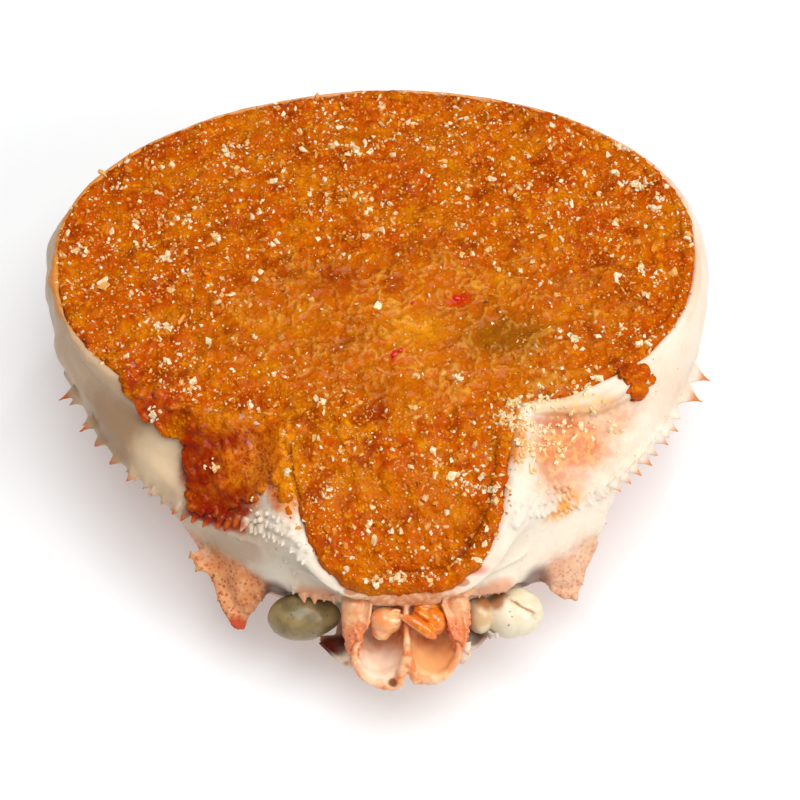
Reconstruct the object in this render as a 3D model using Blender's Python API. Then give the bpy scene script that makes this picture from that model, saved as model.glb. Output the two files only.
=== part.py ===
"""A baked, stuffed crab shell: the crab's own back shell lying upside down, filled level and browned.

Metres. +Z is up, -Y is the crab's face, and the origin is the middle of the small flat spot that the shell rests on.
"""

import math

import bmesh
import bpy
from mathutils import Matrix, Vector

MM = 0.001

# Flat resting spot and the dome under it
FLAT_RADIUS = 17.5 * MM
DOME_STEPS = (0.36, 0.60, 0.78, 0.91)
DOME_FRONT_POWER = 1.8
SHELL_THICKNESS = 1.4 * MM
JOINT_GAP = 0.3 * MM

# Opening of the shell: a wide oval with the mouth frame running out of its front
RIM_CENTRE_X = -2.0 * MM
RIM_CENTRE_Y = 12.0 * MM
RIM_HALF_LEFT = 63.8 * MM
RIM_HALF_RIGHT = 62.6 * MM
RIM_TO_BACK = 39.6 * MM
RIM_TO_FRONT = 43.0 * MM
RIM_FRONT_POWER = 2.5
MOUTH_HALF_WIDTH = 22.0 * MM
MOUTH_START_Y = -31.0 * MM
MOUTH_LENGTH = 31.0 * MM
MOUTH_POWER = 3.0
RIM_BACK_HEIGHT = 37.0 * MM
RIM_CORNER_HEIGHT = 43.0 * MM
MOUTH_DROP = 11.0 * MM
LIP_WIDTH = 1.6 * MM
LIP_WIDTH_BACK = 0.9 * MM

# Spiny ridge, the widest line of the shell
RIDGE_HALF_WIDTH = 66.0 * MM
RIDGE_TO_BACK = 42.0 * MM
RIDGE_TO_FRONT = 69.5 * MM
RIDGE_POWER = 1.9
RIDGE_HEIGHT = 26.0 * MM
RIDGE_RISE = 7.0 * MM
WALL_BULGE = 2.2 * MM

# Band under the ridge, as far as the front margin of the back shell
BAND_FROM = 36.0
BAND_TO = 56.0
BAND_REACH = 60.0 * MM
BAND_HEIGHT = 24.5 * MM
MARGIN_REACH = 60.5 * MM
MARGIN_HEIGHT = 17.0 * MM
MARGIN_SIDE_HEIGHT = 20.0 * MM
BROW_ANGLE = 26.0
BROW_REACH = 61.8 * MM
FLOOR_REACH = 57.0 * MM
FLOOR_HEIGHT = 12.0 * MM

# Eyes and the sockets round them
EYE_LEFT = (-18.7 * MM, -60.3 * MM, 18.8 * MM)
EYE_LEFT_HALF = (7.4 * MM, 4.5 * MM, 4.4 * MM)
EYE_RIGHT = (21.3 * MM, -61.2 * MM, 18.8 * MM)
EYE_RIGHT_HALF = (5.5 * MM, 5.0 * MM, 4.9 * MM)
STALK = (13.5 * MM, -61.8 * MM, 19.6 * MM)
STALK_HALF = (1.9 * MM, 3.4 * MM, 3.9 * MM)
SOCKET_HALF = (8.9 * MM, 6.4 * MM, 5.7 * MM)

# Front lobes with their cups, and the small limbs in them
LOBE_X = 4.7 * MM
LOBE_Y = -66.6 * MM
LOBE_Z = 19.5 * MM
LOBE_HALF = (6.4 * MM, 9.6 * MM, 6.8 * MM)
CUP_HALF = (4.9 * MM, 8.0 * MM, 5.6 * MM)
LOBE_TOP = 29.2 * MM
LOBE_SLOPE = 0.82
COLUMN_X = 9.7 * MM
COLUMN_TOP = (-61.6 * MM, 27.6 * MM)
COLUMN_FOOT = (-69.4 * MM, 18.4 * MM)
COLUMN_HALF = (2.7 * MM, 2.3 * MM)
ANTENNULE_X = 3.65 * MM
ANTENNULE_Y = -65.6 * MM
ANTENNULE_Z = 23.8 * MM
ANTENNULE_HALF = (3.0 * MM, 3.6 * MM, 3.3 * MM)

# Flat tooth outside each eye: root points and tip
TOOTH_LEFT_TIP = (-32.4 * MM, -60.6 * MM, 14.6 * MM)
TOOTH_RIGHT_TIP = (33.4 * MM, -57.4 * MM, 14.8 * MM)

# Spines of the ridge: (first angle from the face, last angle, number, length)
SPINE_RUNS = ((78.0, 58.0, 5, 3.8 * MM), (54.5, 42.0, 6, 2.7 * MM), (39.0, 25.0, 5, 1.7 * MM))
SPINE_ROOT = 0.38

# Meridians of the shell and the filling: close together at the face, wider apart round the back
FACE_ANGLE = 57.0
FACE_STEPS = 19
BACK_STEPS = 18


def clear_scene():
    for obj in list(bpy.data.objects):
        bpy.data.objects.remove(obj, do_unlink=True)


def material(name, colour, roughness):
    made = bpy.data.materials.new(name)
    made.use_nodes = True
    shader = made.node_tree.nodes["Principled BSDF"]
    shader.inputs["Base Color"].default_value = (*colour, 1.0)
    shader.inputs["Roughness"].default_value = roughness
    shader.inputs["Metallic"].default_value = 0.0
    made.diffuse_color = (*colour, 1.0)
    return made


def collection(name):
    made = bpy.data.collections.new(name)
    bpy.context.scene.collection.children.link(made)
    return made


def smooth(value, low, high):
    share = min(1.0, max(0.0, (value - low) / (high - low)))
    return share * share * (3.0 - 2.0 * share)


def mix(first, second, share):
    return first + (second - first) * share


# ---- outlines in plan, each a test of how far out a point lies (1 is on the line) ----


def oval_level(x, y, half_left, half_right, back, front, power):
    dx = x - RIM_CENTRE_X
    dy = y - RIM_CENTRE_Y
    across = abs(dx) / (half_left if dx < 0 else half_right)
    if dy > 0:
        return across**2 + (dy / back) ** 2
    return across**power + (-dy / front) ** power


def rim_level(x, y, grow):
    return oval_level(
        x,
        y,
        RIM_HALF_LEFT + grow,
        RIM_HALF_RIGHT + grow,
        RIM_TO_BACK + grow,
        RIM_TO_FRONT + grow,
        RIM_FRONT_POWER,
    )


def mouth_level(x, y, grow):
    if y > 0:
        return 2.0
    across = abs(x) / (MOUTH_HALF_WIDTH + grow)
    along = max(0.0, MOUTH_START_Y - y) / (MOUTH_LENGTH + grow)
    return across**MOUTH_POWER + along**MOUTH_POWER


def ridge_level(x, y, grow):
    half = RIDGE_HALF_WIDTH + grow
    return oval_level(x, y, half, half, RIDGE_TO_BACK + grow, RIDGE_TO_FRONT + grow, RIDGE_POWER)


def reach(level, angle, grow):
    """Distance from the origin, along a heading, at which the outline is met."""
    low = 0.0
    high = 0.12
    for _ in range(40):
        middle = (low + high) / 2
        x, y = heading(angle, middle)
        if level(x, y, grow) < 1.0:
            low = middle
        else:
            high = middle
    return low


def heading(angle, distance):
    """A point at this distance: angle 0 is the face, positive angles turn to +X."""
    return distance * math.sin(angle), -distance * math.cos(angle)


def opening_reach(angle, grow):
    return max(reach(rim_level, angle, grow), reach(mouth_level, angle, grow))


def ridge_reach(angle, grow):
    return max(reach(ridge_level, angle, grow), opening_reach(angle, grow + 0.6 * MM))


# ---- heights ----


def rim_height(y):
    if y > MOUTH_START_Y:
        back = RIM_CENTRE_Y + RIM_TO_BACK
        return mix(RIM_BACK_HEIGHT, RIM_CORNER_HEIGHT, (back - y) / (back - MOUTH_START_Y))
    return RIM_CORNER_HEIGHT - MOUTH_DROP * ((MOUTH_START_Y - y) / MOUTH_LENGTH) ** 2


def ridge_height(y):
    share = min(1.0, max(0.0, (-y - 10.0 * MM) / (44.0 * MM)))
    return RIDGE_HEIGHT + RIDGE_RISE * share**1.5


def spread(angle):
    """Degrees away from the face, and the share of the side and back form at that heading."""
    away = abs(math.degrees(angle))
    return away, smooth(away, BAND_FROM, BAND_TO)


def place(angle, distance, height):
    x, y = heading(angle, distance)
    return Vector((x, y, height))


# ---- the outer and inner skin, one meridian at a time, from the resting spot up to the rim ----


def outer_line(angle):
    away, side = spread(angle)
    brow = 1.0 - smooth(away, BROW_ANGLE - 3.0, BROW_ANGLE + 3.0)
    ridge = ridge_reach(angle, 0.0)
    ridge_z = ridge_height(heading(angle, ridge)[1])
    lip = mix(LIP_WIDTH, LIP_WIDTH_BACK, smooth(away, 80.0, 120.0))
    rim = opening_reach(angle, lip)
    rim_z = rim_height(heading(angle, opening_reach(angle, 0.0))[1])
    ridge_z = min(ridge_z, rim_z - 3.0 * MM)
    margin = mix(mix(MARGIN_REACH, FLOOR_REACH, brow), ridge - 3.2 * MM, side)
    margin_z = mix(mix(MARGIN_HEIGHT, FLOOR_HEIGHT, brow), MARGIN_SIDE_HEIGHT, side)
    band = mix(mix(BAND_REACH, BROW_REACH, brow), ridge - 0.7 * MM, side)
    band_z = mix(BAND_HEIGHT, ridge_z - 2.6 * MM, side)
    points = [place(angle, FLAT_RADIUS, 0.0)]
    for step in DOME_STEPS:
        round_side = 1.0 - math.sqrt(1.0 - step * step)
        lift = mix(step**DOME_FRONT_POWER, 0.35 * step**2 + 0.65 * round_side, max(side, 0.25))
        points.append(place(angle, mix(FLAT_RADIUS, margin, step), margin_z * lift))
    points.append(place(angle, margin, margin_z))
    points.append(place(angle, mix(margin, band, 0.6), mix(margin_z, band_z, 0.45)))
    points.append(place(angle, band, band_z))
    points.append(place(angle, mix(band, ridge, 0.75), mix(band_z, ridge_z, 0.7)))
    points.append(place(angle, ridge, ridge_z))
    for share in (0.28, 0.58, 0.84):
        bulge = WALL_BULGE * 4.0 * share * (1.0 - share)
        run = max(0.4 * MM, ridge - rim)
        rise = rim_z - ridge_z
        length = math.hypot(run, rise)
        distance = mix(ridge, rim, share) + bulge * rise / length * 0.7
        points.append(place(angle, distance, mix(ridge_z, rim_z - 0.8 * MM, share) + bulge * run / length))
    points.append(place(angle, rim, rim_z - 0.5 * MM))
    points.append(place(angle, opening_reach(angle, 0.55 * lip), rim_z))
    points.append(place(angle, opening_reach(angle, 0.0), rim_z - 0.4 * MM))
    return points


def inner_line(angle, gap):
    """From just under the rim down to the floor of the cavity."""
    away, side = spread(angle)
    brow = 1.0 - smooth(away, BROW_ANGLE, BROW_ANGLE + 6.0)
    skin = SHELL_THICKNESS + gap
    drop = gap * (2.0 * smooth(away, 16.0, 24.0) - 1.0)
    rim = opening_reach(angle, -gap)
    rim_z = rim_height(heading(angle, opening_reach(angle, 0.0))[1])
    ridge = reach(ridge_level, angle, -skin)
    ridge_z = min(ridge_height(heading(angle, ridge)[1]), rim_z - 3.0 * MM) - 1.0 * MM - drop
    ridge = min(ridge, mix(55.0 * MM - gap, 1.0, smooth(away, 20.0, 34.0)))
    ridge = max(ridge, min(rim + 0.2 * MM, 58.6 * MM - gap))
    band = mix(mix(56.4 * MM, 54.0 * MM, brow) - gap, ridge - 0.6 * MM, side)
    band = min(band, ridge)
    band_z = mix(23.5 * MM, ridge_z - 3.0 * MM + drop + gap, side)
    margin = mix(mix(55.6 * MM, 50.5 * MM, brow) - gap, ridge - 3.6 * MM, side)
    margin_z = mix(18.5 * MM, 20.5 * MM, side) + gap
    points = [place(angle, rim, rim_z - 2.2 * MM)]
    for share in (0.35, 0.7):
        points.append(
            place(angle, mix(rim, ridge, share), mix(rim_z - 2.4 * MM - drop, ridge_z, share) + 0.4 * MM)
        )
    points.append(place(angle, ridge, ridge_z))
    points.append(place(angle, band, band_z))
    points.append(place(angle, margin, margin_z))
    floor = SHELL_THICKNESS + gap
    for step in (0.80, 0.48):
        round_side = 1.0 - math.sqrt(1.0 - step * step)
        lift = mix(step**DOME_FRONT_POWER, 0.35 * step**2 + 0.65 * round_side, max(side, 0.25))
        points.append(place(angle, mix(FLAT_RADIUS, margin, step), floor + (margin_z - floor) * lift))
    points.append(place(angle, FLAT_RADIUS, floor))
    return points


def filling_height(x, y, share):
    """Top of the filling: it follows the rim, a little proud in the middle."""
    crown = 1.0 * MM * (1.0 - share * share)
    return rim_height(y) - 0.9 * MM + crown


def meridians():
    half = [FACE_ANGLE * step / FACE_STEPS for step in range(FACE_STEPS)]
    half += [mix(FACE_ANGLE, 180.0, step / BACK_STEPS) for step in range(BACK_STEPS + 1)]
    degrees = [-value for value in reversed(half[1:-1])] + half
    return [math.radians(value) for value in degrees]


def loft(name, lines, start, end):
    """A closed body through equal lines of points, set side by side round the middle."""
    mesh = bmesh.new()
    first = mesh.verts.new(start)
    last = mesh.verts.new(end)
    rows = [[mesh.verts.new(point) for point in line] for line in lines]
    for here, there in zip(rows, rows[1:] + rows[:1]):
        mesh.faces.new((first, there[0], here[0]))
        for low in range(len(here) - 1):
            mesh.faces.new((here[low], there[low], there[low + 1], here[low + 1]))
        mesh.faces.new((last, here[-1], there[-1]))
    bmesh.ops.triangulate(mesh, faces=mesh.faces)
    bmesh.ops.recalc_face_normals(mesh, faces=mesh.faces)
    data = bpy.data.meshes.new(name)
    mesh.to_mesh(data)
    mesh.free()
    return bpy.data.objects.new(name, data)


def body_from(name, points, faces=None):
    """A closed body: the hull of the points, or the faces given."""
    mesh = bmesh.new()
    corners = [mesh.verts.new(point) for point in points]
    if faces is None:
        bmesh.ops.convex_hull(mesh, input=corners)
    else:
        for face in faces:
            mesh.faces.new([corners[i] for i in face])
        bmesh.ops.recalc_face_normals(mesh, faces=mesh.faces)
    bmesh.ops.triangulate(mesh, faces=mesh.faces)
    data = bpy.data.meshes.new(name)
    mesh.to_mesh(data)
    mesh.free()
    return bpy.data.objects.new(name, data)


def ellipsoid(name, centre, half, turn=None, segments=16, rings=8):
    mesh = bmesh.new()
    bmesh.ops.create_uvsphere(mesh, u_segments=segments, v_segments=rings, radius=1.0)
    frame = Matrix.Translation(centre)
    if turn is not None:
        frame = frame @ turn
    mesh.transform(frame @ Matrix.Diagonal((*half, 1.0)))
    bmesh.ops.triangulate(mesh, faces=mesh.faces)
    bmesh.ops.recalc_face_normals(mesh, faces=mesh.faces)
    data = bpy.data.meshes.new(name)
    mesh.to_mesh(data)
    mesh.free()
    return bpy.data.objects.new(name, data)


def spine(name, root, tip, radius):
    """A five-sided cone from inside the shell to its tip."""
    axis = (tip - root).normalized()
    side = axis.cross(Vector((0.0, 0.0, 1.0))).normalized()
    other = axis.cross(side)
    points = []
    for step in range(5):
        turn = 2.0 * math.pi * step / 5
        points.append(root + (side * math.cos(turn) + other * math.sin(turn)) * radius)
    points.append(tip)
    return body_from(name, points)


def column(name, side, grow):
    """A short limb segment lying down the side of the front, wider at its top than at its foot."""
    points = []
    for share, size in ((0.0, 0.86), (0.12, 1.06), (0.42, 0.94), (0.75, 0.66), (1.0, 0.38)):
        y = mix(COLUMN_TOP[0], COLUMN_FOOT[0], share)
        z = mix(COLUMN_TOP[1], COLUMN_FOOT[1], share)
        for step in range(10):
            turn = 2.0 * math.pi * step / 10
            across = (COLUMN_HALF[0] * size + grow) * math.cos(turn)
            up = (COLUMN_HALF[1] * size + grow) * math.sin(turn)
            x = side * (COLUMN_X + 0.5 * MM * share) + across
            points.append(Vector((x, y - 0.7 * up, z + 0.7 * up)))
    run = Vector((0.0, COLUMN_TOP[0] - COLUMN_FOOT[0], COLUMN_TOP[1] - COLUMN_FOOT[1])).normalized()
    points = [p + run * (grow if i < 20 else -grow) for i, p in enumerate(points)]
    return body_from(name, points)


def add_boolean(target, operation, others):
    step = target.modifiers.new(operation.title() + "s", "BOOLEAN")
    step.operation = operation
    step.operand_type = "COLLECTION"
    step.collection = others
    step.solver = "EXACT"


def shade(obj, angle):
    for face in obj.data.polygons:
        face.use_smooth = True
    obj.data.set_sharp_from_angle(angle=math.radians(angle))


def finish(obj, group, look, angle=35.0):
    group.objects.link(obj)
    obj.data.materials.append(look)
    shade(obj, angle)
    return obj


def helper(obj, group):
    group.objects.link(obj)
    obj.hide_render = True
    obj.display_type = "WIRE"
    return obj


def ridge_spines(group):
    number = 0
    for side in (-1.0, 1.0):
        for first, last, count, length in SPINE_RUNS:
            for step in range(count):
                angle = side * math.radians(mix(first, last, step / (count - 1)))
                distance = ridge_reach(angle, 0.0)
                root = place(angle, distance - 0.8 * MM, ridge_height(heading(angle, distance)[1]) - 0.3 * MM)
                out = Vector((math.sin(angle), -math.cos(angle) - 0.25, -0.28)).normalized()
                number += 1
                helper(
                    spine(f"spine_{number}", root, root + out * (length + 0.8 * MM), SPINE_ROOT * length),
                    group,
                )


def teeth(group):
    for side, tip in ((-1.0, TOOTH_LEFT_TIP), (1.0, TOOTH_RIGHT_TIP)):
        points = [
            Vector((side * 39.6 * MM, -45.5 * MM, 18.0 * MM)),
            Vector((side * 38.4 * MM, -47.6 * MM, 17.6 * MM)),
            Vector((side * 24.6 * MM, -53.6 * MM, 21.0 * MM)),
            Vector((side * 27.5 * MM, -55.4 * MM, 18.6 * MM)),
            Vector((side * 31.6 * MM, -50.4 * MM, 24.6 * MM)),
            Vector((side * 33.4 * MM, -47.6 * MM, 13.0 * MM)),
            Vector((side * 27.4 * MM, -51.0 * MM, 13.2 * MM)),
            Vector((tip[0] + side * 2.2 * MM, tip[1] + 3.6 * MM, tip[2] + 0.6 * MM)),
            Vector((tip[0] - side * 1.4 * MM, tip[1] + 2.0 * MM, tip[2] + 1.2 * MM)),
            Vector(tip),
        ]
        helper(body_from("tooth_left" if side < 0 else "tooth_right", points), group)


def front(group):
    for side in (-1.0, 1.0):
        name = "left" if side < 0 else "right"
        lobe = ellipsoid("lobe_" + name, (side * LOBE_X, LOBE_Y, LOBE_Z), LOBE_HALF, segments=18, rings=9)
        helper(lobe, group)
        corner = (side * 10.6 * MM, -63.0 * MM, 14.6 * MM)
        helper(ellipsoid("floor_" + name, corner, (3.0 * MM, 7.0 * MM, 2.2 * MM), segments=14, rings=8), group)
    points = []
    for side in (-0.7 * MM, 0.7 * MM):
        for y, z in ((-58.0, 16.0), (-58.0, 27.6), (-62.0, 27.4), (-66.0, 25.0), (-71.6, 19.2), (-71.6, 14.0)):
            points.append(Vector((side, y * MM, z * MM)))
    helper(body_from("septum", points), group)
    points = []
    for x in (-7.0 * MM, 7.0 * MM):
        for y, z in ((-62.3, 26.6), (-63.2, 27.0), (-64.0, 28.6), (-63.5, 30.0), (-62.3, 30.4)):
            points.append(Vector((x, y * MM, z * MM)))
    helper(body_from("mouth_edge", points), group)


def openings(group):
    points = []
    for x in (-14.0 * MM, 14.0 * MM):
        for y in (-63.4 * MM, -80.0 * MM):
            points.append(Vector((x, y, LOBE_TOP + LOBE_SLOPE * (y + 60.0 * MM))))
            points.append(Vector((x, y, 50.0 * MM)))
    helper(body_from("front_slope", points), group)
    helper(ellipsoid("socket_left", (EYE_LEFT[0], EYE_LEFT[1] - 0.4 * MM, EYE_LEFT[2]), SOCKET_HALF), group)
    right = (EYE_RIGHT[0] - 1.4 * MM, EYE_RIGHT[1] + 0.2 * MM, EYE_RIGHT[2])
    helper(ellipsoid("socket_right", right, SOCKET_HALF), group)
    helper(stalk("seat_stalk", JOINT_GAP), group)
    for side in (-1.0, 1.0):
        name = "left" if side < 0 else "right"
        helper(ellipsoid("cup_" + name, (side * (LOBE_X + 0.35 * MM), LOBE_Y - 0.3 * MM, LOBE_Z + 1.6 * MM), CUP_HALF),
               group)
        helper(column("bed_" + name, side, JOINT_GAP), group)
        helper(antennule("seat_" + name, side, JOINT_GAP), group)


def stalk(name, grow):
    half = [size + grow for size in STALK_HALF]
    return ellipsoid(name, STALK, half, segments=14, rings=8)


def antennule(name, side, grow):
    half = [size + grow for size in ANTENNULE_HALF]
    turn = Matrix.Rotation(side * 0.25, 4, "Z")
    return ellipsoid(name, (side * ANTENNULE_X, ANTENNULE_Y, ANTENNULE_Z), half, turn, segments=12, rings=6)


def main():
    clear_scene()
    parts = collection("stuffed_crab_shell")
    added = collection("shell_additions")
    cutters = collection("shell_cutters")

    shell_look = material("shell", (0.86, 0.62, 0.46), 0.45)
    filling_look = material("filling", (0.62, 0.22, 0.03), 0.55)
    eye_look = material("eye", (0.46, 0.45, 0.36), 0.25)
    limb_look = material("small_limb", (0.85, 0.45, 0.28), 0.35)
    antennule_look = material("antennule", (0.80, 0.24, 0.05), 0.25)

    ridge_spines(added)
    teeth(added)
    front(added)
    openings(cutters)

    angles = meridians()
    lines = [outer_line(angle) + inner_line(angle, 0.0) for angle in angles]
    shell = loft("carapace", lines, (0.0, 0.0, 0.0), (0.0, 0.0, SHELL_THICKNESS))
    finish(shell, parts, shell_look, 40.0)
    add_boolean(shell, "UNION", added)
    add_boolean(shell, "DIFFERENCE", cutters)

    lines = []
    for angle in angles:
        line = list(reversed(inner_line(angle, JOINT_GAP)))
        rim = opening_reach(angle, -JOINT_GAP)
        for share in (1.0, 0.88, 0.6, 0.28):
            x, y = heading(angle, rim * share)
            line.append(Vector((x, y, filling_height(x, y, share))))
        lines.append(line)
    floor = SHELL_THICKNESS + JOINT_GAP
    finish(loft("filling", lines, (0.0, 0.0, floor), (0.0, 0.0, filling_height(0.0, 0.0, 0.0))), parts, filling_look)

    finish(ellipsoid("eye_left", EYE_LEFT, EYE_LEFT_HALF, Matrix.Rotation(-0.06, 4, "Y")), parts, eye_look)
    finish(ellipsoid("eye_right", EYE_RIGHT, EYE_RIGHT_HALF), parts, eye_look)
    finish(stalk("eye_stalk_right", 0.0), parts, eye_look)
    for side, name in ((-1.0, "left"), (1.0, "right")):
        finish(column("antenna_base_" + name, side, 0.0), parts, limb_look)
        finish(antennule("antennule_" + name, side, 0.0), parts, antennule_look)


main()
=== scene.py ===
"""The looks of a baked, stuffed crab shell, modelled round its CAD frame.

The crab's back shell lies dome down and full to the rim, its face towards -Y. Everything is in metres,
in the frame's own axes: +X is the right-hand side as the face is looked at, +Z is up.
Each operator makes one piece, or one group of like pieces, in its finished place.
"""

import math
import random
from contextlib import contextmanager

import bpy
import numpy as np
from bpy.props import FloatProperty, FloatVectorProperty, IntProperty, PointerProperty
from mathutils import Color, Euler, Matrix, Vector, noise
from mathutils.bvhtree import BVHTree


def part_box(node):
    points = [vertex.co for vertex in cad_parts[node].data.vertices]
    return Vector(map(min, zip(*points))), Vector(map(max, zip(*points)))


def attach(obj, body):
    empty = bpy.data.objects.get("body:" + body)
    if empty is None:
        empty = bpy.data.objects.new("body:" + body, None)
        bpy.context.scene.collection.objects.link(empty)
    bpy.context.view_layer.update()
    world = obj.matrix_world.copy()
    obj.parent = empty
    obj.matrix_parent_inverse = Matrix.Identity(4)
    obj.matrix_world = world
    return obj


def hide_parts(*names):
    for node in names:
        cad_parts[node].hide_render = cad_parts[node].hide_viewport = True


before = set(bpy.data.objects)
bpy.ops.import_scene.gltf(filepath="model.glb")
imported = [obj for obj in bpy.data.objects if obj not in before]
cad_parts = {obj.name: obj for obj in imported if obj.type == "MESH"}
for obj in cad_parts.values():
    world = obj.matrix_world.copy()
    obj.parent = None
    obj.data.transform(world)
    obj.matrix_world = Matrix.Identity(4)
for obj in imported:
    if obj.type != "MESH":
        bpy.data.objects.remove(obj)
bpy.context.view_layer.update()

bl_info = {
    "name": "Stuffed crab shell",
    "version": (1, 0, 0),
    "blender": (4, 5, 0),
    "location": "3D View > Sidebar > Crab",
    "description": "Models a baked, stuffed crab shell and its small table-top stage",
    "category": "Add Mesh",
}

MM = 0.001
DOWN = Vector((0, 0, -1))

# Outlines in plan, shared by the shell's added detail and the places of the crumbs
RIM_CENTRE = (-2 * MM, 12 * MM)
RIM_HALF_LEFT = 63.8 * MM
RIM_HALF_RIGHT = 62.6 * MM
RIM_TO_BACK = 39.6 * MM
RIM_TO_FRONT = 43 * MM
RIM_POWER = 2.5
MOUTH_HALF_WIDTH = 22 * MM
MOUTH_START_Y = -31 * MM
MOUTH_LENGTH = 31 * MM
MOUTH_POWER = 3
RIDGE_HALF_WIDTH = 66 * MM
RIDGE_TO_FRONT = 69.5 * MM
RIDGE_POWER = 1.9
RIDGE_TYPICAL_REACH = 62 * MM
RIDGE_HEIGHT = 26 * MM
RIDGE_CLIMB = 7 * MM
RIDGE_CLIMB_START = 10 * MM
RIDGE_CLIMB_LENGTH = 44 * MM
RIM_BACK_HEIGHT = 37 * MM
RIM_CORNER_HEIGHT = 43 * MM
MOUTH_DROP = 11 * MM


def mm(*values):
    return tuple(value * MM for value in values)


def mix(first, second, share):
    return first + (second - first) * share


def colour(red, green, blue):
    """A colour named by its 0-255 display values, as the linear colour that a shader takes."""
    shares = (value / 255 for value in (red, green, blue))
    return tuple(s / 12.92 if s <= 0.04045 else ((s + 0.055) / 1.055) ** 2.4 for s in shares)


def linear(tint):
    """The four values of a colour socket, from a setting's colour or from three display values."""
    return (*(colour(*tint) if isinstance(tint, tuple) else tint), 1)


# ---- places on the shell ----


def rim_height(y):
    """Height of the shell's lip: it climbs from the back to the front corners and falls along the mouth."""
    if y > MOUTH_START_Y:
        back = RIM_CENTRE[1] + RIM_TO_BACK
        return mix(RIM_BACK_HEIGHT, RIM_CORNER_HEIGHT, (back - y) / (back - MOUTH_START_Y))
    return RIM_CORNER_HEIGHT - MOUTH_DROP * ((MOUTH_START_Y - y) / MOUTH_LENGTH) ** 2


def ridge_height(y):
    """Height of the spiny ridge, which climbs towards the face, at one place or at an array of them."""
    share = np.clip((-y - RIDGE_CLIMB_START) / RIDGE_CLIMB_LENGTH, 0, 1)
    return RIDGE_HEIGHT + RIDGE_CLIMB * share**1.5


def ridge_place(degrees):
    """A point of the spiny ridge: 0 degrees is the face, positive headings turn to +X."""
    heading = Vector((math.sin(math.radians(degrees)), -math.cos(math.radians(degrees)), 0))
    low, high = 0, 0.12
    for _ in range(30):
        reach = (low + high) / 2
        point = heading * reach
        across = abs(point.x - RIM_CENTRE[0]) / RIDGE_HALF_WIDTH
        along = max(0, RIM_CENTRE[1] - point.y) / RIDGE_TO_FRONT
        if across**RIDGE_POWER + along**RIDGE_POWER < 1:
            low = reach
        else:
            high = reach
    return Vector((point.x, point.y, ridge_height(point.y)))


def rim_place(turn, grow=0, lift=0):
    """A point of the rim's oval: 0 is the right end, 90 the middle of the front, 270 of the back."""
    across = math.cos(math.radians(turn))
    along = math.sin(math.radians(turn))
    power = 2 / (RIM_POWER if along > 0 else 2)
    half = (RIM_HALF_RIGHT if across > 0 else RIM_HALF_LEFT) + grow
    reach = (RIM_TO_FRONT if along > 0 else RIM_TO_BACK) + grow
    x = RIM_CENTRE[0] + math.copysign(half * abs(across) ** power, across)
    y = RIM_CENTRE[1] - math.copysign(reach * abs(along) ** power, along)
    return Vector((x, y, rim_height(y) + lift))


def mouth_place(turn, grow=0, lift=0):
    """A point of the mouth's outline: 0 is its right-hand start, 90 the middle of its front."""
    across = math.cos(math.radians(turn))
    along = math.sin(math.radians(turn))
    x = math.copysign((MOUTH_HALF_WIDTH + grow) * abs(across) ** (2 / MOUTH_POWER), across)
    y = MOUTH_START_Y - (MOUTH_LENGTH + grow) * abs(along) ** (2 / MOUTH_POWER)
    return Vector((x, y, rim_height(y) + lift))


def inside_opening(x, y, grow=0):
    half = (RIM_HALF_RIGHT if x > RIM_CENTRE[0] else RIM_HALF_LEFT) + grow
    across = abs(x - RIM_CENTRE[0]) / half
    along = y - RIM_CENTRE[1]
    if along > 0:
        oval = across**2 + (along / (RIM_TO_BACK + grow)) ** 2
    else:
        oval = across**RIM_POWER + (-along / (RIM_TO_FRONT + grow)) ** RIM_POWER
    ahead = max(0, MOUTH_START_Y - y) / (MOUTH_LENGTH + grow)
    mouth = (abs(x) / (MOUTH_HALF_WIDTH + grow)) ** MOUTH_POWER + ahead**MOUTH_POWER
    return oval < 1 or (y < 0 and mouth < 1)


# ---- modelling by hand ----


def only(obj):
    bpy.ops.object.select_all(action="DESELECT")
    obj.select_set(True)
    bpy.context.view_layer.objects.active = obj


def active():
    return bpy.context.view_layer.objects.active


@contextmanager
def editing(obj):
    """Edit mode on this object alone, with its whole mesh selected."""
    only(obj)
    bpy.ops.object.mode_set(mode="EDIT")
    bpy.ops.mesh.select_all(action="SELECT")
    yield
    bpy.ops.object.mode_set(mode="OBJECT")


def placed(name, data):
    obj = bpy.data.objects.new(name, data)
    bpy.context.scene.collection.objects.link(obj)
    return obj


def copy_of(node, name):
    """A copy of a CAD node with its loose triangles merged, and paired to quads where they lie flat."""
    obj = placed(name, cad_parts[node].data.copy())
    obj.data.materials.clear()
    with editing(obj):
        bpy.ops.mesh.remove_doubles(threshold=0.01 * MM)
        flat, square = math.radians(35), math.radians(60)
        bpy.ops.mesh.tris_convert_to_quads(face_threshold=flat, shape_threshold=square)
    return obj


def modify(obj, kind, **settings):
    """Adds a modifier with these settings and applies it."""
    only(obj)
    step = obj.modifiers.new(kind.title(), kind)
    for name, value in settings.items():
        setattr(step, name, value)
    bpy.ops.object.modifier_apply(modifier=step.name)
    return obj


def join(objects, name):
    only(objects[0])
    for obj in objects:
        obj.select_set(True)
    bpy.ops.object.join()
    made = active()
    made.name = made.data.name = name
    return made


def settle():
    """Puts the active object's place, turn and size into its mesh."""
    bpy.ops.object.transform_apply(location=True, rotation=True, scale=True)
    return active()


def ball(centre, half, turn=(0, 0, 0), segments=24, rings=14):
    bpy.ops.mesh.primitive_uv_sphere_add(segments=segments, ring_count=rings, radius=1, location=centre)
    active().rotation_euler = turn
    active().scale = half
    only(active())
    return settle()


def bead(centre, radius):
    bpy.ops.mesh.primitive_ico_sphere_add(subdivisions=2, radius=radius, location=centre)
    return settle()


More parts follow.
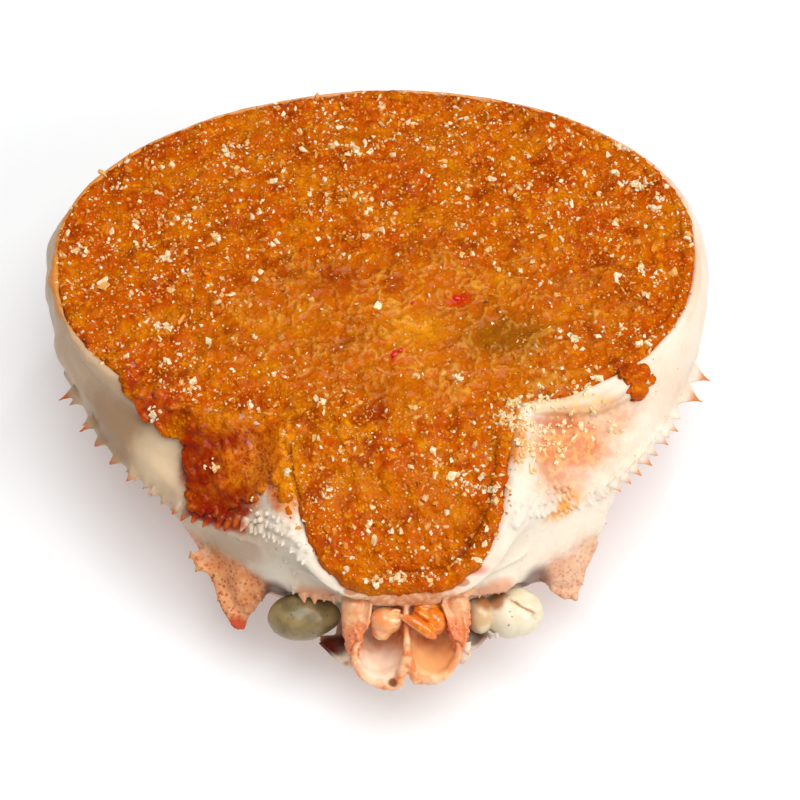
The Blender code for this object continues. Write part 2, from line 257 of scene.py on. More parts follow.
def thorn(root, tip, radius, flat=1, hollow=0.5):
    """A spine with hollow flanks: a cone cut across and drawn in ring by ring."""
    root, tip = Vector(root), Vector(tip)
    run = tip - root
    bpy.ops.mesh.primitive_cone_add(vertices=12, radius1=radius, radius2=radius * 0.12, depth=run.length)
    obj = active()
    with editing(obj):
        for share in (0.2, 0.36, 0.52, 0.68, 0.84):
            height = (share - 0.5) * run.length
            bpy.ops.mesh.select_all(action="SELECT")
            bpy.ops.mesh.bisect(plane_co=(0, 0, height), plane_no=(0, 0, 1))
    for vertex in obj.data.vertices:
        draw = max(0.1, 0.5 - vertex.co.z / run.length) ** hollow
        vertex.co.x *= draw
        vertex.co.y *= draw * flat
    obj.rotation_mode = "QUATERNION"
    obj.rotation_quaternion = run.to_track_quat("Z", "Y")
    obj.location = (root + tip) / 2
    return settle()


def tube(points, radii):
    """A round bar with its own radius at each point of its run, rounded at both ends."""
    line = bpy.data.curves.new("tube", "CURVE")
    line.dimensions = "3D"
    line.bevel_depth = 1
    line.bevel_resolution = 4
    line.use_fill_caps = True
    run = line.splines.new("NURBS")
    run.points.add(len(points) - 1)
    run.use_endpoint_u = True
    run.order_u = min(4, len(points))
    run.resolution_u = 6
    for spot, place, radius in zip(run.points, points, radii):
        spot.co = (*place, 1)
        spot.radius = radius
    only(placed("tube", line))
    bpy.ops.object.convert(target="MESH")
    obj = active()
    with editing(obj):
        bpy.ops.mesh.remove_doubles(threshold=0.001 * MM)
        bpy.ops.mesh.normals_make_consistent(inside=False)
    return obj


def bar(spots):
    """A round bar through these points, each in millimetres with its radius."""
    return tube([mm(*spot[:3]) for spot in spots], [spot[3] * MM for spot in spots])


def slab(corners, thickness):
    """A plate with these corners, thickened one way: a polygon drawn out in edit mode."""
    bpy.ops.mesh.primitive_circle_add(vertices=len(corners), radius=1, fill_type="NGON")
    obj = active()
    for vertex, corner in zip(obj.data.vertices, corners):
        vertex.co = mm(*corner)
    with editing(obj):
        bpy.ops.mesh.extrude_region_move(TRANSFORM_OT_translate={"value": mm(*thickness)})
        bpy.ops.mesh.select_all(action="SELECT")
        bpy.ops.mesh.quads_convert_to_tris()
        bpy.ops.mesh.normals_make_consistent(inside=False)
    return obj


def melt(obj, voxel, rounds):
    """Melts joined forms into one skin and rounds it off."""
    modify(obj, "REMESH", mode="VOXEL", voxel_size=voxel, use_smooth_shade=True)
    modify(obj, "SMOOTH", factor=0.5, iterations=rounds)


def thin_hidden(obj, most):
    """Thins a mesh to this many triangles, nearly all of it where its group "hidden" is full."""
    share = most / (2 * len(obj.data.polygons))
    if share < 1:
        modify(obj, "DECIMATE", ratio=share, vertex_group="hidden", vertex_group_factor=0.00001)
    obj.vertex_groups.clear()


def vertices_of(obj):
    places = np.empty(len(obj.data.vertices) * 3, np.float32)
    obj.data.vertices.foreach_get("co", places)
    return places.reshape(-1, 3)


def store(mesh, name, values):
    mesh.attributes.new(name, "FLOAT", "POINT").data.foreach_set("value", values)


def stored(mesh, name):
    values = np.empty(len(mesh.vertices), np.float32)
    mesh.attributes[name].data.foreach_get("value", values)
    return values


def land(tree, x, y, start=70 * MM):
    """Where something dropped here lands, the slope there, and the face that it lands on."""
    hit, slope, face, _ = tree.ray_cast(Vector((x, y, start)), DOWN)
    return hit, slope, face


def complete(obj, look, slot, *nodes):
    """Gives a piece its material and smooth shading, hangs it under the root and hides the CAD nodes that
    it stands in for.
    """
    obj.data.materials.clear()
    obj.data.materials.append(look)
    only(obj)
    bpy.ops.object.shade_smooth()
    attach(obj, "root")
    if nodes:
        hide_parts(*nodes)


# ---- node graphs, for materials and for relief alike ----


class Flow:
    """What comes out of a node, open to plain arithmetic."""

    def __init__(self, graph, socket):
        self.graph = graph
        self.socket = socket

    def __add__(self, other):
        return self.graph.math("ADD", self, other)

    def __sub__(self, other):
        return self.graph.math("SUBTRACT", self, other)

    def __rsub__(self, other):
        return self.graph.math("SUBTRACT", other, self)

    def __mul__(self, other):
        return self.graph.math("MULTIPLY", self, other)

    def __pow__(self, other):
        return self.graph.math("POWER", self, other)

    def __abs__(self):
        return self.graph.math("ABSOLUTE", self)

    __radd__ = __add__
    __rmul__ = __mul__

    def fade(self, low, high, start=0, end=1):
        """Runs smoothly from start to end as the value goes from low to high."""
        inputs = {"Value": self, "From Min": low, "From Max": high, "To Min": start, "To Max": end}
        return self.graph.node("ShaderNodeMapRange", inputs, "Result", interpolation_type="SMOOTHSTEP")

    def fade_mm(self, low, high, start=0, end=1):
        """A fade whose low and high are in millimetres."""
        return self.fade(low * MM, high * MM, start, end)


class Graph:
    """Short names for the nodes that both a material and a relief are drawn with."""

    def __init__(self, tree, place):
        self.tree = tree
        self.place = Flow(self, place)

    def node(self, kind, inputs, output=0, **settings):
        """Adds a node, feeds its inputs and gives one of its outputs."""
        made = self.tree.nodes.new(kind)
        for name, value in settings.items():
            setattr(made, name, value)
        for name, value in inputs.items():
            self.feed(made.inputs[name], value)
        return Flow(self, made.outputs[output])

    def feed(self, socket, value):
        if isinstance(value, Flow):
            self.tree.links.new(value.socket, socket)
        elif isinstance(value, (tuple, Color)) and len(socket.default_value) == 4:
            socket.default_value = linear(value)
        else:
            socket.default_value = value

    def math(self, operation, first, second=0):
        return self.node("ShaderNodeMath", {0: first, 1: second}, operation=operation)

    def vector(self, operation, first, second=(0, 0, 0), output="Vector"):
        return self.node("ShaderNodeVectorMath", {0: first, 1: second}, output, operation=operation)

    def noise(self, size, detail=2, rough=0.5, twist=0, seed=0):
        """Cloudy noise, mostly 0.3 to 0.7, whose blots are about this many millimetres wide."""
        place = self.vector("ADD", self.place, (seed, seed * 0.7, -seed))
        inputs = {"Vector": place, "Scale": 1 / (size * MM), "Detail": detail}
        return self.node("ShaderNodeTexNoise", {**inputs, "Roughness": rough, "Distortion": twist})

    def cells(self, size, feature="F1", place=None, output="Distance"):
        """Distance to the middle of a cell, or to its edge, in cell widths."""
        inputs = {"Vector": place or self.place, "Scale": 1 / (size * MM)}
        return self.node("ShaderNodeTexVoronoi", inputs, output, feature=feature)

    def stirred(self, amount, size):
        """The place, pushed about by noise, so that a pattern read there loses its regular edges."""
        push = self.node("ShaderNodeTexNoise", {"Vector": self.place, "Scale": 1 / (size * MM)}, 1)
        push = self.vector("SUBTRACT", push, (0.5, 0.5, 0.5))
        return self.vector("ADD", self.place, self.vector("MULTIPLY", push, (amount * MM,) * 3))

    def spot(self, centre, half, edge=0.3, wobble=None):
        """1 inside an egg-shaped spot of this centre and half size in millimetres, falling to 0 outside."""
        away = self.vector("SUBTRACT", self.place, mm(*centre))
        far = self.vector("LENGTH", self.vector("DIVIDE", away, mm(*half)), output="Value")
        if wobble is not None:
            far = far + wobble
        return far.fade(1 + edge, 1 - edge)

    def spots(self, wobble, rows):
        """The most of several spots, given as centre, half size, edge and strength."""
        made = []
        for centre, half, edge, strength in rows:
            spot = self.spot(centre, half, edge, wobble)
            made.append(spot if strength == 1 else spot * strength)
        return self.most(*made)

    def axis(self, name, way=None):
        return self.node("ShaderNodeSeparateXYZ", {0: way or self.place}, name)

    def most(self, top, *values):
        for value in values:
            top = self.math("MAXIMUM", top, value)
        return top


class Look(Graph):
    """A procedural material on one Principled shader, read in the piece's own coordinates."""

    def __init__(self, name, **constants):
        self.material = bpy.data.materials.new(name)
        self.material.use_nodes = True
        tree = self.material.node_tree
        self.shader = tree.nodes["Principled BSDF"]
        self.tint = None
        super().__init__(tree, tree.nodes.new("ShaderNodeTexCoord").outputs["Object"])
        for label, value in constants.items():
            self.feed(self.shader.inputs[label.replace("_", " ")], value)

    def blend(self, share, first, second):
        return self.node("ShaderNodeMix", {0: share, 6: first, 7: second}, 2, data_type="RGBA")

    def paint(self, share, tint):
        """Lays another colour over this share of what is painted so far."""
        self.tint = self.blend(share, self.tint, tint)

    def ramp(self, value, *stops):
        made = self.node("ShaderNodeValToRGB", {0: value})
        points = made.socket.node.color_ramp.elements
        while len(points) < len(stops):
            points.new(0.5)
        for point, (position, tint) in zip(points, stops):
            point.position = position
            point.color = linear(tint)
        return made

    def kept(self, name):
        """A value that the modelling left on the mesh."""
        return self.node("ShaderNodeAttribute", {}, "Fac", attribute_name=name)

    def bump(self, height, distance, strength, under=None):
        inputs = {"Strength": strength, "Distance": distance * MM, "Height": height}
        if under is not None:
            inputs["Normal"] = under
        return self.node("ShaderNodeBump", inputs)

    def finish(self, normal, rough=None):
        for name, value in (("Base Color", self.tint), ("Roughness", rough), ("Normal", normal)):
            if value is not None:
                self.feed(self.shader.inputs[name], value)
        return self.material


class Relief(Graph):
    """A relief drawn with nodes: it moves a piece's points and is then applied to its mesh."""

    def __init__(self, name):
        tree = bpy.data.node_groups.new(name, "GeometryNodeTree")
        for way in ("INPUT", "OUTPUT"):
            tree.interface.new_socket("Geometry", in_out=way, socket_type="NodeSocketGeometry")
        super().__init__(tree, tree.nodes.new("GeometryNodeInputPosition").outputs[0])
        self.mesh = self.node("NodeGroupInput", {})
        self.normal = self.node("GeometryNodeInputNormal", {})

    def kept(self, name):
        """A value that the modelling left on the mesh."""
        return self.node("GeometryNodeInputNamedAttribute", {"Name": name}, "Attribute", data_type="FLOAT")

    def keep(self, name, value):
        """Leaves a value on the mesh under this name, for the material."""
        inputs = {"Geometry": self.mesh, "Name": name, "Value": value}
        self.mesh = self.node("GeometryNodeStoreNamedAttribute", inputs, data_type="FLOAT", domain="POINT")

    def move(self, along, amount):
        offset = self.node("ShaderNodeVectorMath", {0: along, "Scale": amount}, operation="SCALE")
        self.mesh = self.node("GeometryNodeSetPosition", {"Geometry": self.mesh, "Offset": offset})

    def apply(self, obj):
        self.tree.links.new(self.mesh.socket, self.tree.nodes.new("NodeGroupOutput").inputs[0])
        modify(obj, "NODES", node_group=self.tree)
        bpy.data.node_groups.remove(self.tree)


# ---- settings ----


def a_length(name, description, size):
    return FloatProperty(name=name, description=description, default=size * MM, unit="LENGTH", precision=5)


def a_colour(name, description, *values):
    return FloatVectorProperty(
        name=name, description=description, default=colour(*values), subtype="COLOR", size=3)


def a_place(name, description, *values):
    return FloatVectorProperty(
        name=name, description=description, default=mm(*values), subtype="XYZ", unit="LENGTH", size=3)


def an_angle(name, description, degrees):
    return FloatProperty(name=name, description=description, default=math.radians(degrees), subtype="ANGLE")


def a_count(name, description, number):
    return IntProperty(name=name, description=description, default=number)


class CrabShellSettings(bpy.types.PropertyGroup):
    mesh_size: a_length("Mesh size", "Grid on which the shell's forms are melted together", 0.32)
    triangles: a_count("Triangles", "Most triangles of the melted shell", 172000)
    bead_radius: a_length("Bead radius", "Radius of the small beads beside the mouth", 0.5)
    lip_radius: a_length("Lip radius", "Half thickness of the rolled lip beside the mouth", 1.5)
    cream: a_colour("Cream", "Pale underside of the shell", 226, 212, 192)
    boiled: a_colour("Boiled back", "Orange of the cooked back of the shell", 206, 122, 54)
    stain: a_colour("Stain", "Deep red of the juices baked on to the shell", 132, 24, 0)


class CrabFillingSettings(bpy.types.PropertyGroup):
    mesh_size: a_length("Mesh size", "Grid on which the crust is modelled", 0.34)
    triangles: a_count("Triangles", "Most triangles of the finished filling", 192000)
    swell: a_length("Swell", "Height of the broad swells of the crust", 2.6)
    lumps: a_length("Lumps", "Height of the lumps of the crust", 1.9)
    grain: a_length("Grain", "Height of the fine grain of the crust", 0.5)
    crust: a_colour("Crust", "Orange of the baked crust", 188, 88, 0)
    browned: a_colour("Browned", "Darker, browned patches of the crust", 144, 46, 0)


class CrabCrumbSettings(bpy.types.PropertyGroup):
    coarse: a_count("Coarse crumbs", "Number of single large crumbs", 800)
    middling: a_count("Middling crumbs", "Number of middle-sized crumbs", 3000)
    fine: a_count("Fine crumbs", "Number of the smallest grains", 6000)
    crumb: a_colour("Crumb", "Pale cream of the toasted crumbs", 246, 224, 182)


class CrabFaceSettings(bpy.types.PropertyGroup):
    eye_left_half: a_place("Left eye", "Half sizes of the left eye, as seen", 7.2, 4.5, 4.4)
    eye_right_half: a_place("Right eye", "Half sizes of the right eye, as seen", 6.1, 5, 4.9)
    limb: a_colour("Limb", "Orange of the small limbs at the face", 226, 120, 62)


class CrabStageSettings(bpy.types.PropertyGroup):
    azimuth: an_angle("Azimuth", "Heading of the camera round the shell, 0 in front of the face", -2.5)
    elevation: an_angle("Elevation", "Height of the camera above the horizon", 58)
    distance: a_length("Distance", "From the camera to the middle of the shell", 620)
    lens: FloatProperty(name="Lens", description="Focal length in millimetres", default=142)
    aim: a_place("Aim", "The point that the camera looks at", 0.9, -19, 30)
    key_power: FloatProperty(
        name="Key light", description="Power of the soft key light", default=5.4, unit="POWER")
    sky: FloatProperty(name="Sky", description="Strength of the even light from all round", default=0.2)
    floor: FloatVectorProperty(
        name="Floor", description="Colour of the floor",
        default=(0.64, 0.65, 0.655), subtype="COLOR", size=3)
    floor_glow: FloatProperty(
        name="Floor glow", description="Light that comes through the floor", default=0.3)


# ---- shell ----

# Spines of the side ridge, in millimetres: tip across, tip forward, length
SPINES = (
    (-65.8, -14.6, 2.6), (-61.6, -22.5, 2.4), (-57.2, -25.8, 1.4), (-54.8, -29.1, 2), (-52.6, -31.5, 1.2),
    (-51, -33.8, 1.6), (-48.3, -37.4, 1.4), (-45.6, -39.6, 1.2), (-43.2, -41.8, 1.2), (-41.6, -43.3, 1.5),
    (-39.6, -44.2, 1.1), (-37.4, -45.6, 1.5), (-34.9, -46.5, 1.5), (-33.3, -47.3, 1.4),
    (-31.6, -47.6, 1.2), (-30.2, -48.5, 1.6), (63.2, -14.6, 2.6), (61, -19.8, 2.6), (55.5, -27, 2.6),
    (53.2, -30.3, 2.1), (50.9, -32.9, 1.7), (49.5, -35.4, 1.9), (47.2, -37.8, 1.9), (45, -39.8, 1.4),
    (42.8, -41.7, 1.8), (39.9, -43.5, 1.5), (37.2, -45, 1.3), (34.8, -46.1, 1.3),
)

# Between these places across, in millimetres, the left spines are small and lie on the wall
LOW_SPINES_START = -44
LOW_SPINES_END = -24

# The run of small beads at each side of the mouth, from the spines inwards, in millimetres in plan
BEAD_LINES = (
    ((-28.6, -49.4), (-25.7, -51.2), (-23.9, -52.7), (-21.1, -55), (-18, -58.3)),
    ((33.6, -44.6), (31.3, -45.8), (27.3, -48.1), (22.7, -50.9), (20.4, -53.2)),
)

# The teeth, brows, pockets and middle plate of the face, in millimetres: the way each is thickened,
# and its corners
PLATES = (
    ((0.35, 0.9, -0.9), (
        (-41, -48, 22), (-39.8, -50.3, 20.5), (-38.1, -50.6, 20), (-36.8, -51.6, 19),
        (-36.3, -54.1, 17.5), (-35.4, -56.7, 16.5), (-33.6, -59.9, 15), (-32.4, -60.6, 14.5),
        (-31, -60.3, 14.6), (-30.5, -58.8, 15.6), (-29.2, -57.7, 17), (-27.4, -56, 19),
        (-25.8, -55.3, 20.5), (-23.2, -54.8, 22.5), (-22.6, -53.2, 26.6), (-29.2, -48.6, 26),
        (-36, -45, 24.5))),
    ((-0.35, 0.9, -0.9), (
        (39.8, -43.8, 26), (39.8, -44.9, 24), (37.8, -47.1, 21), (37, -48.9, 19), (35.8, -49.5, 18.6),
        (35.5, -53, 16.5), (33.5, -57, 15), (30.4, -56.4, 15.5), (29.1, -55.8, 16.5),
        (27.1, -53.8, 19.5), (24.5, -53.3, 22), (23.3, -52.8, 24.6), (28.4, -49.8, 26),
        (34.4, -46.6, 26))),
    ((0, 0.9, -0.9), (
        (-23.1, -56, 25), (-20.9, -58.6, 25.5), (-17.8, -60.4, 26), (-14.6, -61.2, 26),
        (-11.4, -61.9, 26.3), (-9.3, -61.7, 27), (-10, -59.6, 30), (-14.1, -57, 31), (-19.7, -54.6, 30),
        (-23, -54.4, 28.4))),
    ((0, 0.9, -0.9), (
        (12, -61.6, 27), (14.2, -61.1, 26), (16.7, -60.7, 26), (19.5, -60.1, 25.5), (21.4, -58.6, 25),
        (22.3, -56.3, 26), (22.3, -54.4, 28.8), (17.3, -55.8, 31), (13.4, -58.4, 31), (10.9, -60.1, 29))),
    ((0.2, 0.3, -0.7), (
        (-16.8, -62, 14.2), (-16.6, -64.6, 16), (-14.9, -66.6, 16.2), (-13.2, -68.1, 16),
        (-11.9, -68.8, 15.6), (-10.8, -68, 17.2), (-10.2, -66.6, 18.6), (-11, -63, 15.6))),
    ((-0.2, 0.3, -0.7), (
        (16.4, -62, 14.2), (15.6, -64.6, 15.8), (13.8, -66.8, 16), (12.3, -68.1, 16.4),
        (11.3, -67.4, 18.4), (11, -63, 15.6))),
    ((0, 1.2, -0.5), (
        (-6.5, -61.4, 29.5), (-5.8, -63.1, 28.4), (-1.5, -62.2, 28.8), (-0.1, -61.7, 28.6),
        (2.4, -62, 28.8), (5.9, -63, 28.4), (6.8, -62.7, 28.6), (6.8, -60.8, 30.4), (0, -60.2, 30.9),
        (-6.2, -60.5, 30.4))),
)

# Bars at the face and along the lips, in millimetres: points with a radius each
BARS = (
    # outer rims of the two front cups
    ((-8.9, -67.8, 22.5, 0.5), (-10, -68.8, 21.3, 0.6), (-10.2, -70.1, 20.5, 0.6),
     (-9.8, -72.5, 18.6, 0.65),
     (-7.8, -73.9, 17, 0.65), (-5.9, -74.5, 16.4, 0.6), (-3.8, -74.7, 16.2, 0.6), (-1.9, -74.6, 16.2, 0.6)),
    ((9.4, -67.9, 22.5, 0.55), (10.2, -69.8, 21, 0.7), (9.4, -71.3, 19.8, 0.75), (8.3, -72.3, 18.8, 0.7),
     (7, -73.5, 17.6, 0.6), (5.3, -73.9, 17, 0.6), (3.4, -74.1, 16.8, 0.7), (1.7, -74, 16.8, 0.6)),
    # the wall between them, parting towards its foot
    ((0, -63.6, 27, 0.5), (0, -66.3, 25.3, 0.55), (0, -68.9, 23.6, 0.65), (0, -70.7, 22.2, 0.8)),
    ((-0.2, -70.4, 22.4, 0.6), (-0.8, -72.6, 19.8, 0.85), (-1.5, -74.1, 17.6, 0.85),
     (-2.1, -74.7, 16.4, 0.7)),
    ((0.2, -70.4, 22.4, 0.6), (0.6, -72.4, 20, 0.85), (1.1, -73.7, 18.2, 0.85), (1.8, -74.1, 17, 0.7)),
    # rims of the pockets beside the eyes
    ((-16.6, -64.8, 16.6, 0.35), (-14.9, -66.8, 16.6, 0.45), (-13.3, -68.2, 16.2, 0.5),
     (-11.9, -68.9, 15.8, 0.5), (-10.8, -68.1, 17.6, 0.45), (-10.3, -67, 19.6, 0.4)),
    ((15.6, -64.6, 16.2, 0.35), (13.8, -67, 16.4, 0.45), (12.4, -68.3, 16.8, 0.5), (11.4, -67.6, 19, 0.4)),
    # folded rim and slit at the top of each front plate
    ((-12.2, -61.4, 29.9, 0.3), (-11, -62, 29.7, 0.36), (-9.2, -62, 29.9, 0.36), (-8, -61.3, 30.5, 0.3)),
    ((12.4, -61, 30.2, 0.3), (11.6, -60.2, 30.9, 0.36), (9.8, -60.2, 31, 0.36), (8.9, -61, 30.4, 0.3)),
    # light roll over each brow
    ((-24.6, -53.6, 28.6, 0.5), (-21, -55, 29.6, 0.8), (-17, -57.2, 30.2, 0.9), (-13, -59.6, 30, 0.9),
     (-10.6, -61, 29.4, 0.7)),
    ((23.6, -53.6, 28.8, 0.5), (21, -55.4, 29.2, 0.8), (17.4, -57.2, 30.2, 0.9), (13.6, -59.4, 30.2, 0.8),
     (11.4, -60.6, 29.6, 0.7)),
)

# The wide roll of the lip at the right front of the opening
FRONT_LIP = (
    (22.9, -30.2, 41.4, 1), (24.4, -29.2, 41.6, 1.25), (27.3, -29, 41.8, 1.4), (30.2, -28.8, 41.7, 1.45),
    (33.1, -28.5, 41.3, 1.45), (36.1, -28, 40.9, 1.45), (39.1, -27.3, 40.5, 1.5), (41.5, -26.1, 40.4, 1.6),
    (43.5, -24.6, 40.4, 1.45), (45.6, -22.6, 40.6, 0.8),
)

# Small spines at the face, in millimetres: tip, length, and the way it points
PRICKLES = (
    (-19.1, -61.2, 25, 1.3, 0.1), (-17.2, -61.6, 25.2, 1.2, 0), (-15.4, -61.4, 25.4, 0.8, 0),
    (-13.3, -62.1, 25.5, 1.3, 0.1), (-21.4, -59.2, 24.8, 0.9, -0.3), (14, -61.9, 25.5, 1.1, -0.2),
    (15.3, -61.5, 25.5, 1, 0), (16.6, -61.3, 25.5, 0.8, 0), (17.9, -61.2, 25.3, 1.1, 0),
    (19.5, -60.8, 24.9, 1, 0.1), (-41.6, -48.4, 21.4, 0.8, -1), (-40.4, -50.8, 20.2, 1.1, -0.8),
    (-37.3, -52.2, 18.6, 1.3, -0.7), (-27, -57, 18.6, 1, 0.8), (-28.2, -57.8, 17.6, 0.9, 0.8),
    (-29.6, -58.6, 16.2, 0.8, 0.7), (-34.6, -58.6, 15.6, 0.6, -0.8), (-36.4, -55.6, 16.8, 0.6, -0.9),
    (38, -48.8, 19, 1, 1), (40.2, -45.4, 23.4, 0.8, 1), (38.6, -46.8, 21, 0.7, 1),
    (35.9, -51.4, 17.2, 0.6, 0.9), (35.3, -54.6, 15.9, 0.6, 0.8), (33.6, -57.6, 14.8, 0.7, 0.3),
    (31.4, -57.2, 15, 0.5, 0), (11.9, -70.4, 18.6, 1.8, 0.3), (-11.8, -69.2, 15.6, 0.8, 0),
    (16.2, -66.6, 17.4, 0.7, 0), (17.4, -66.6, 17.6, 0.6, 0),
)


def outward(place):
    """The way the spiny ridge faces at a point beside it."""
    across = place.x - RIM_CENTRE[0]
    along = max(0, RIM_CENTRE[1] - place.y)
    side = math.copysign((abs(across) / RIDGE_HALF_WIDTH) ** (RIDGE_POWER - 1) / RIDGE_HALF_WIDTH, across)
    front = (along / RIDGE_TO_FRONT) ** (RIDGE_POWER - 1) / RIDGE_TO_FRONT
    return Vector((side, -front, 0)).normalized()


def shell_tree():
    """The CAD shell, for finding its surface under a point."""
    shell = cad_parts["carapace"].data
    points = [v.co.copy() for v in shell.vertices]
    return BVHTree.FromPolygons(points, [tuple(p.vertices) for p in shell.polygons])


def ridge_spines(chance):
    """The spines of the side ridge: broad fins with hollow flanks, their outer ends, and small knobs."""
    made, ends = [], []
    tree = shell_tree()
    for x, y, length in SPINES:
        tip = Vector(mm(x, y, 0))
        tip.z = ridge_height(tip.y) - 0.7 * MM
        out = outward(tip)
        tip += out * (-0.3 if x > 0 else 0.5) * MM
        if x < -56:
            tip += out * 0.2 * MM + Vector((0, 1, 0.8)) * MM
        out.z = -0.22
        long = length * (1.4 if x < -44 else 1) * MM
        if LOW_SPINES_START < x < LOW_SPINES_END:
            root = tip - out * 1.9 * MM
            height = land(tree, root.x, root.y)[0].z
            root.z = height - 0.9 * MM
            tip.z = height - 1.3 * MM
            ends.append(thorn(root, tip + out * 0.7 * MM, 1.25 * MM, flat=0.95, hollow=0))
            continue
        root = tip - out * (long + 2 * MM)
        root.z += 0.1 * MM
        broad = 0.5 * long + (2 if x > 0 else 1.7) * MM
        made.append(thorn(root, tip, broad, flat=0.42, hollow=0.35))
        if abs(x) > 60:
            ends.append(thorn(root, tip, broad * 0.8, flat=0.6, hollow=0.6))
        elif -60 < x < -44:
            ends.append(thorn(root.lerp(tip, 0.1), tip, 0.34 * long + 0.9 * MM, flat=0.9, hollow=0.2))
        else:
            ends.append(thorn(root.lerp(tip, 0.3), tip, broad * 0.6, flat=0.5, hollow=0.35))
        if chance.random() < 0.6 and length < 2.2:
            knob = tip - out * (long + 0.8 * MM) + Vector((0, 0, 0.9 * MM))
            made.append(bead(knob, chance.uniform(0.4, 0.62) * MM))
    return made, ends


def ridge_edge():
    """The narrow, sharp edge that the spines stand on, and the little knobs of its side ends."""
    made = []
    for side in (-1, 1):
        points = [ridge_place(side * mix(84, 14, step / 17)) for step in range(18)]
        points = [point - outward(point) * 0.25 * MM - Vector((0, 0, 0.5 * MM)) for point in points]
        made.append(tube(points, [mix(0.75, 0.6, step / 17) * MM for step in range(18)]))
        for step in range(5):
            place = ridge_place(side * (86 + 4 * step)) + Vector((side * 0.1, 0, 0.6)) * MM
            made.append(bead(place, 0.5 * MM))
    return made


def mouth_beads(chance, radius):
    """Rows of small beads that take over from the spines towards the mouth."""
    made = []
    tree = shell_tree()
    for line in BEAD_LINES:
        side = math.copysign(1, line[0][0])
        for row, count in enumerate((15, 11, 8)):
            for step in range(count):
                first, share = divmod(step * (len(line) - 1) / count, 1)
                start, end = line[int(first)], line[int(first) + 1]
                x = mix(start[0], end[0], share) - side * row * 0.7 + chance.uniform(-0.25, 0.25)
                y = mix(start[1], end[1], share) + row + chance.uniform(-0.25, 0.25)
                hit, _, _ = land(tree, x * MM, y * MM)
                size = radius * chance.uniform(0.9, 1.4) * (1.2 - 0.2 * row)
                if row and chance.random() < 0.6:
                    made.append(bead(hit, size))
                else:
                    way = Vector((side * 0.35, -0.9, 0)) * MM
                    root = hit - way * 0.5 - Vector((0, 0, 0.3 * MM))
                    made.append(thorn(root, hit + way, size * 1.6, hollow=0))
    return made


def rolled_lips(radius):
    """The rolled edge round the mouth and along the front of the opening, thickest on the right."""
    made = []
    turns = (2, 14, 32, 48, 62, 76, 90, 104, 118, 132, 148, 166, 178)
    grows = (1, 0.4, 0.3, 0.3, 0.3, 0.3, 0.2, 0.3, 0.3, 0.3, 0.3, 0.4, 1)
    sizes = (1, 1.16, 1.2, 1.1, 0.85, 0.6, 0.5, 0.55, 0.74, 0.92, 1.06, 1.1, 1)
    points = [mouth_place(turn, grow * MM, -0.9 * MM) for turn, grow in zip(turns, grows)]
    points = [Vector(mm(23.6, -31, 41.6)), *points, Vector(mm(-23.4, -31.2, 41.4))]
    made.append(tube(points, [radius * size for size in (0.8, *sizes, 0.8)]))
    made.append(bar(FRONT_LIP))
    turns = (107, 115, 123, 131, 140, 150)
    points = [rim_place(turn, 1 * MM, -1.1 * MM) for turn in turns]
    made.append(tube(points, [radius * size for size in (0.85, 0.85, 0.8, 0.7, 0.55, 0.4)]))
    return made


def prickles():
    made = []
    for x, y, z, length, lean in PRICKLES:
        tip = Vector(mm(x, y, z))
        way = Vector((lean, -1, -0.45)).normalized()
        tip -= way * 0.5 * MM
        made.append(thorn(tip - way * (length + 0.5) * MM, tip, (0.5 * length + 0.45) * MM, hollow=0))
    return made


def hollow_plates(carve):
    """Sinks the two front plates beside the mouth, with a step under the lip."""
    x, y, z = (carve.axis(name) for name in "XYZ")
    line = carve.most(x - 33 * MM, 0) * 0.17
    line = line + carve.most(x - 39 * MM, 0) * 0.4
    line = line - 30.7 * MM
    right = (y - line).fade_mm(0.4, -0.6)
    right = right * x.fade_mm(24.2, 28.4)
    right = right * z.fade_mm(31.5, 35.5)
    right = right * carve.spot((36, -33, 37), (15, 12, 9))
    left = y.fade_mm(-30, -33.6) * x.fade_mm(-23.4, -27.4)
    left = left * z.fade_mm(31.5, 35)
    left = left * carve.spot((-34, -36, 37), (14, 14, 9))
    carve.move((-0.4, 0.5, -0.77), 1.5 * MM * right)
    carve.move((0.42, 0.5, -0.76), 1.1 * MM * left)


def shell_relief(shell):
    """Low waves, the hollow plates, and granules on the dome, the teeth and the baked juices."""
    carve = Relief("shell_relief")
    x, y, z = (carve.axis(name) for name in "XYZ")
    hollow_plates(carve)
    wave = 0.9 * MM * (carve.noise(11) - 0.5)
    wave = wave + 0.22 * MM * (carve.noise(3, seed=3) - 0.5)
    over = z - (39.2 * MM + (x + 40 * MM) * -0.05)
    crease = over.fade_mm(0.6, -1) * over.fade_mm(-8, -4)
    crease = crease * x.fade_mm(-38, -44)
    crease = crease * y.fade_mm(0, -6)
    push = wave - 0.7 * MM * crease
    dented = x.fade_mm(-54, -61) * z.fade_mm(20, 28)
    dents = 3.4 * MM * (carve.noise(9, 1, seed=7) - 0.5)
    push = push + dented * dents

    # granules
    cells = carve.cells(1.7, "SMOOTH_F1", place=carve.stirred(0.8, 2))
    low = z.fade_mm(22, 15)
    teeth = carve.most(*(carve.spot((side * 32.5, -55.5, 17.5), (7.5, 6.5, 5)) for side in (-1, 1)))
    granules = cells.fade(0.5, 0.1) * (0.26 * MM * carve.most(low, teeth))
    juices = carve.spot((-31.5, -38, 38.5), (9.5, 8.5, 6), 0.25, carve.noise(4, 3) - 0.5)
    crust = carve.noise(1.1, 3, 0.6, seed=6) + cells.fade(0.5, 0.1, -0.3, 0.5)
    granules = granules + crust * (0.55 * MM * juices)
    carve.move(carve.normal, push + granules)
    carve.apply(shell)


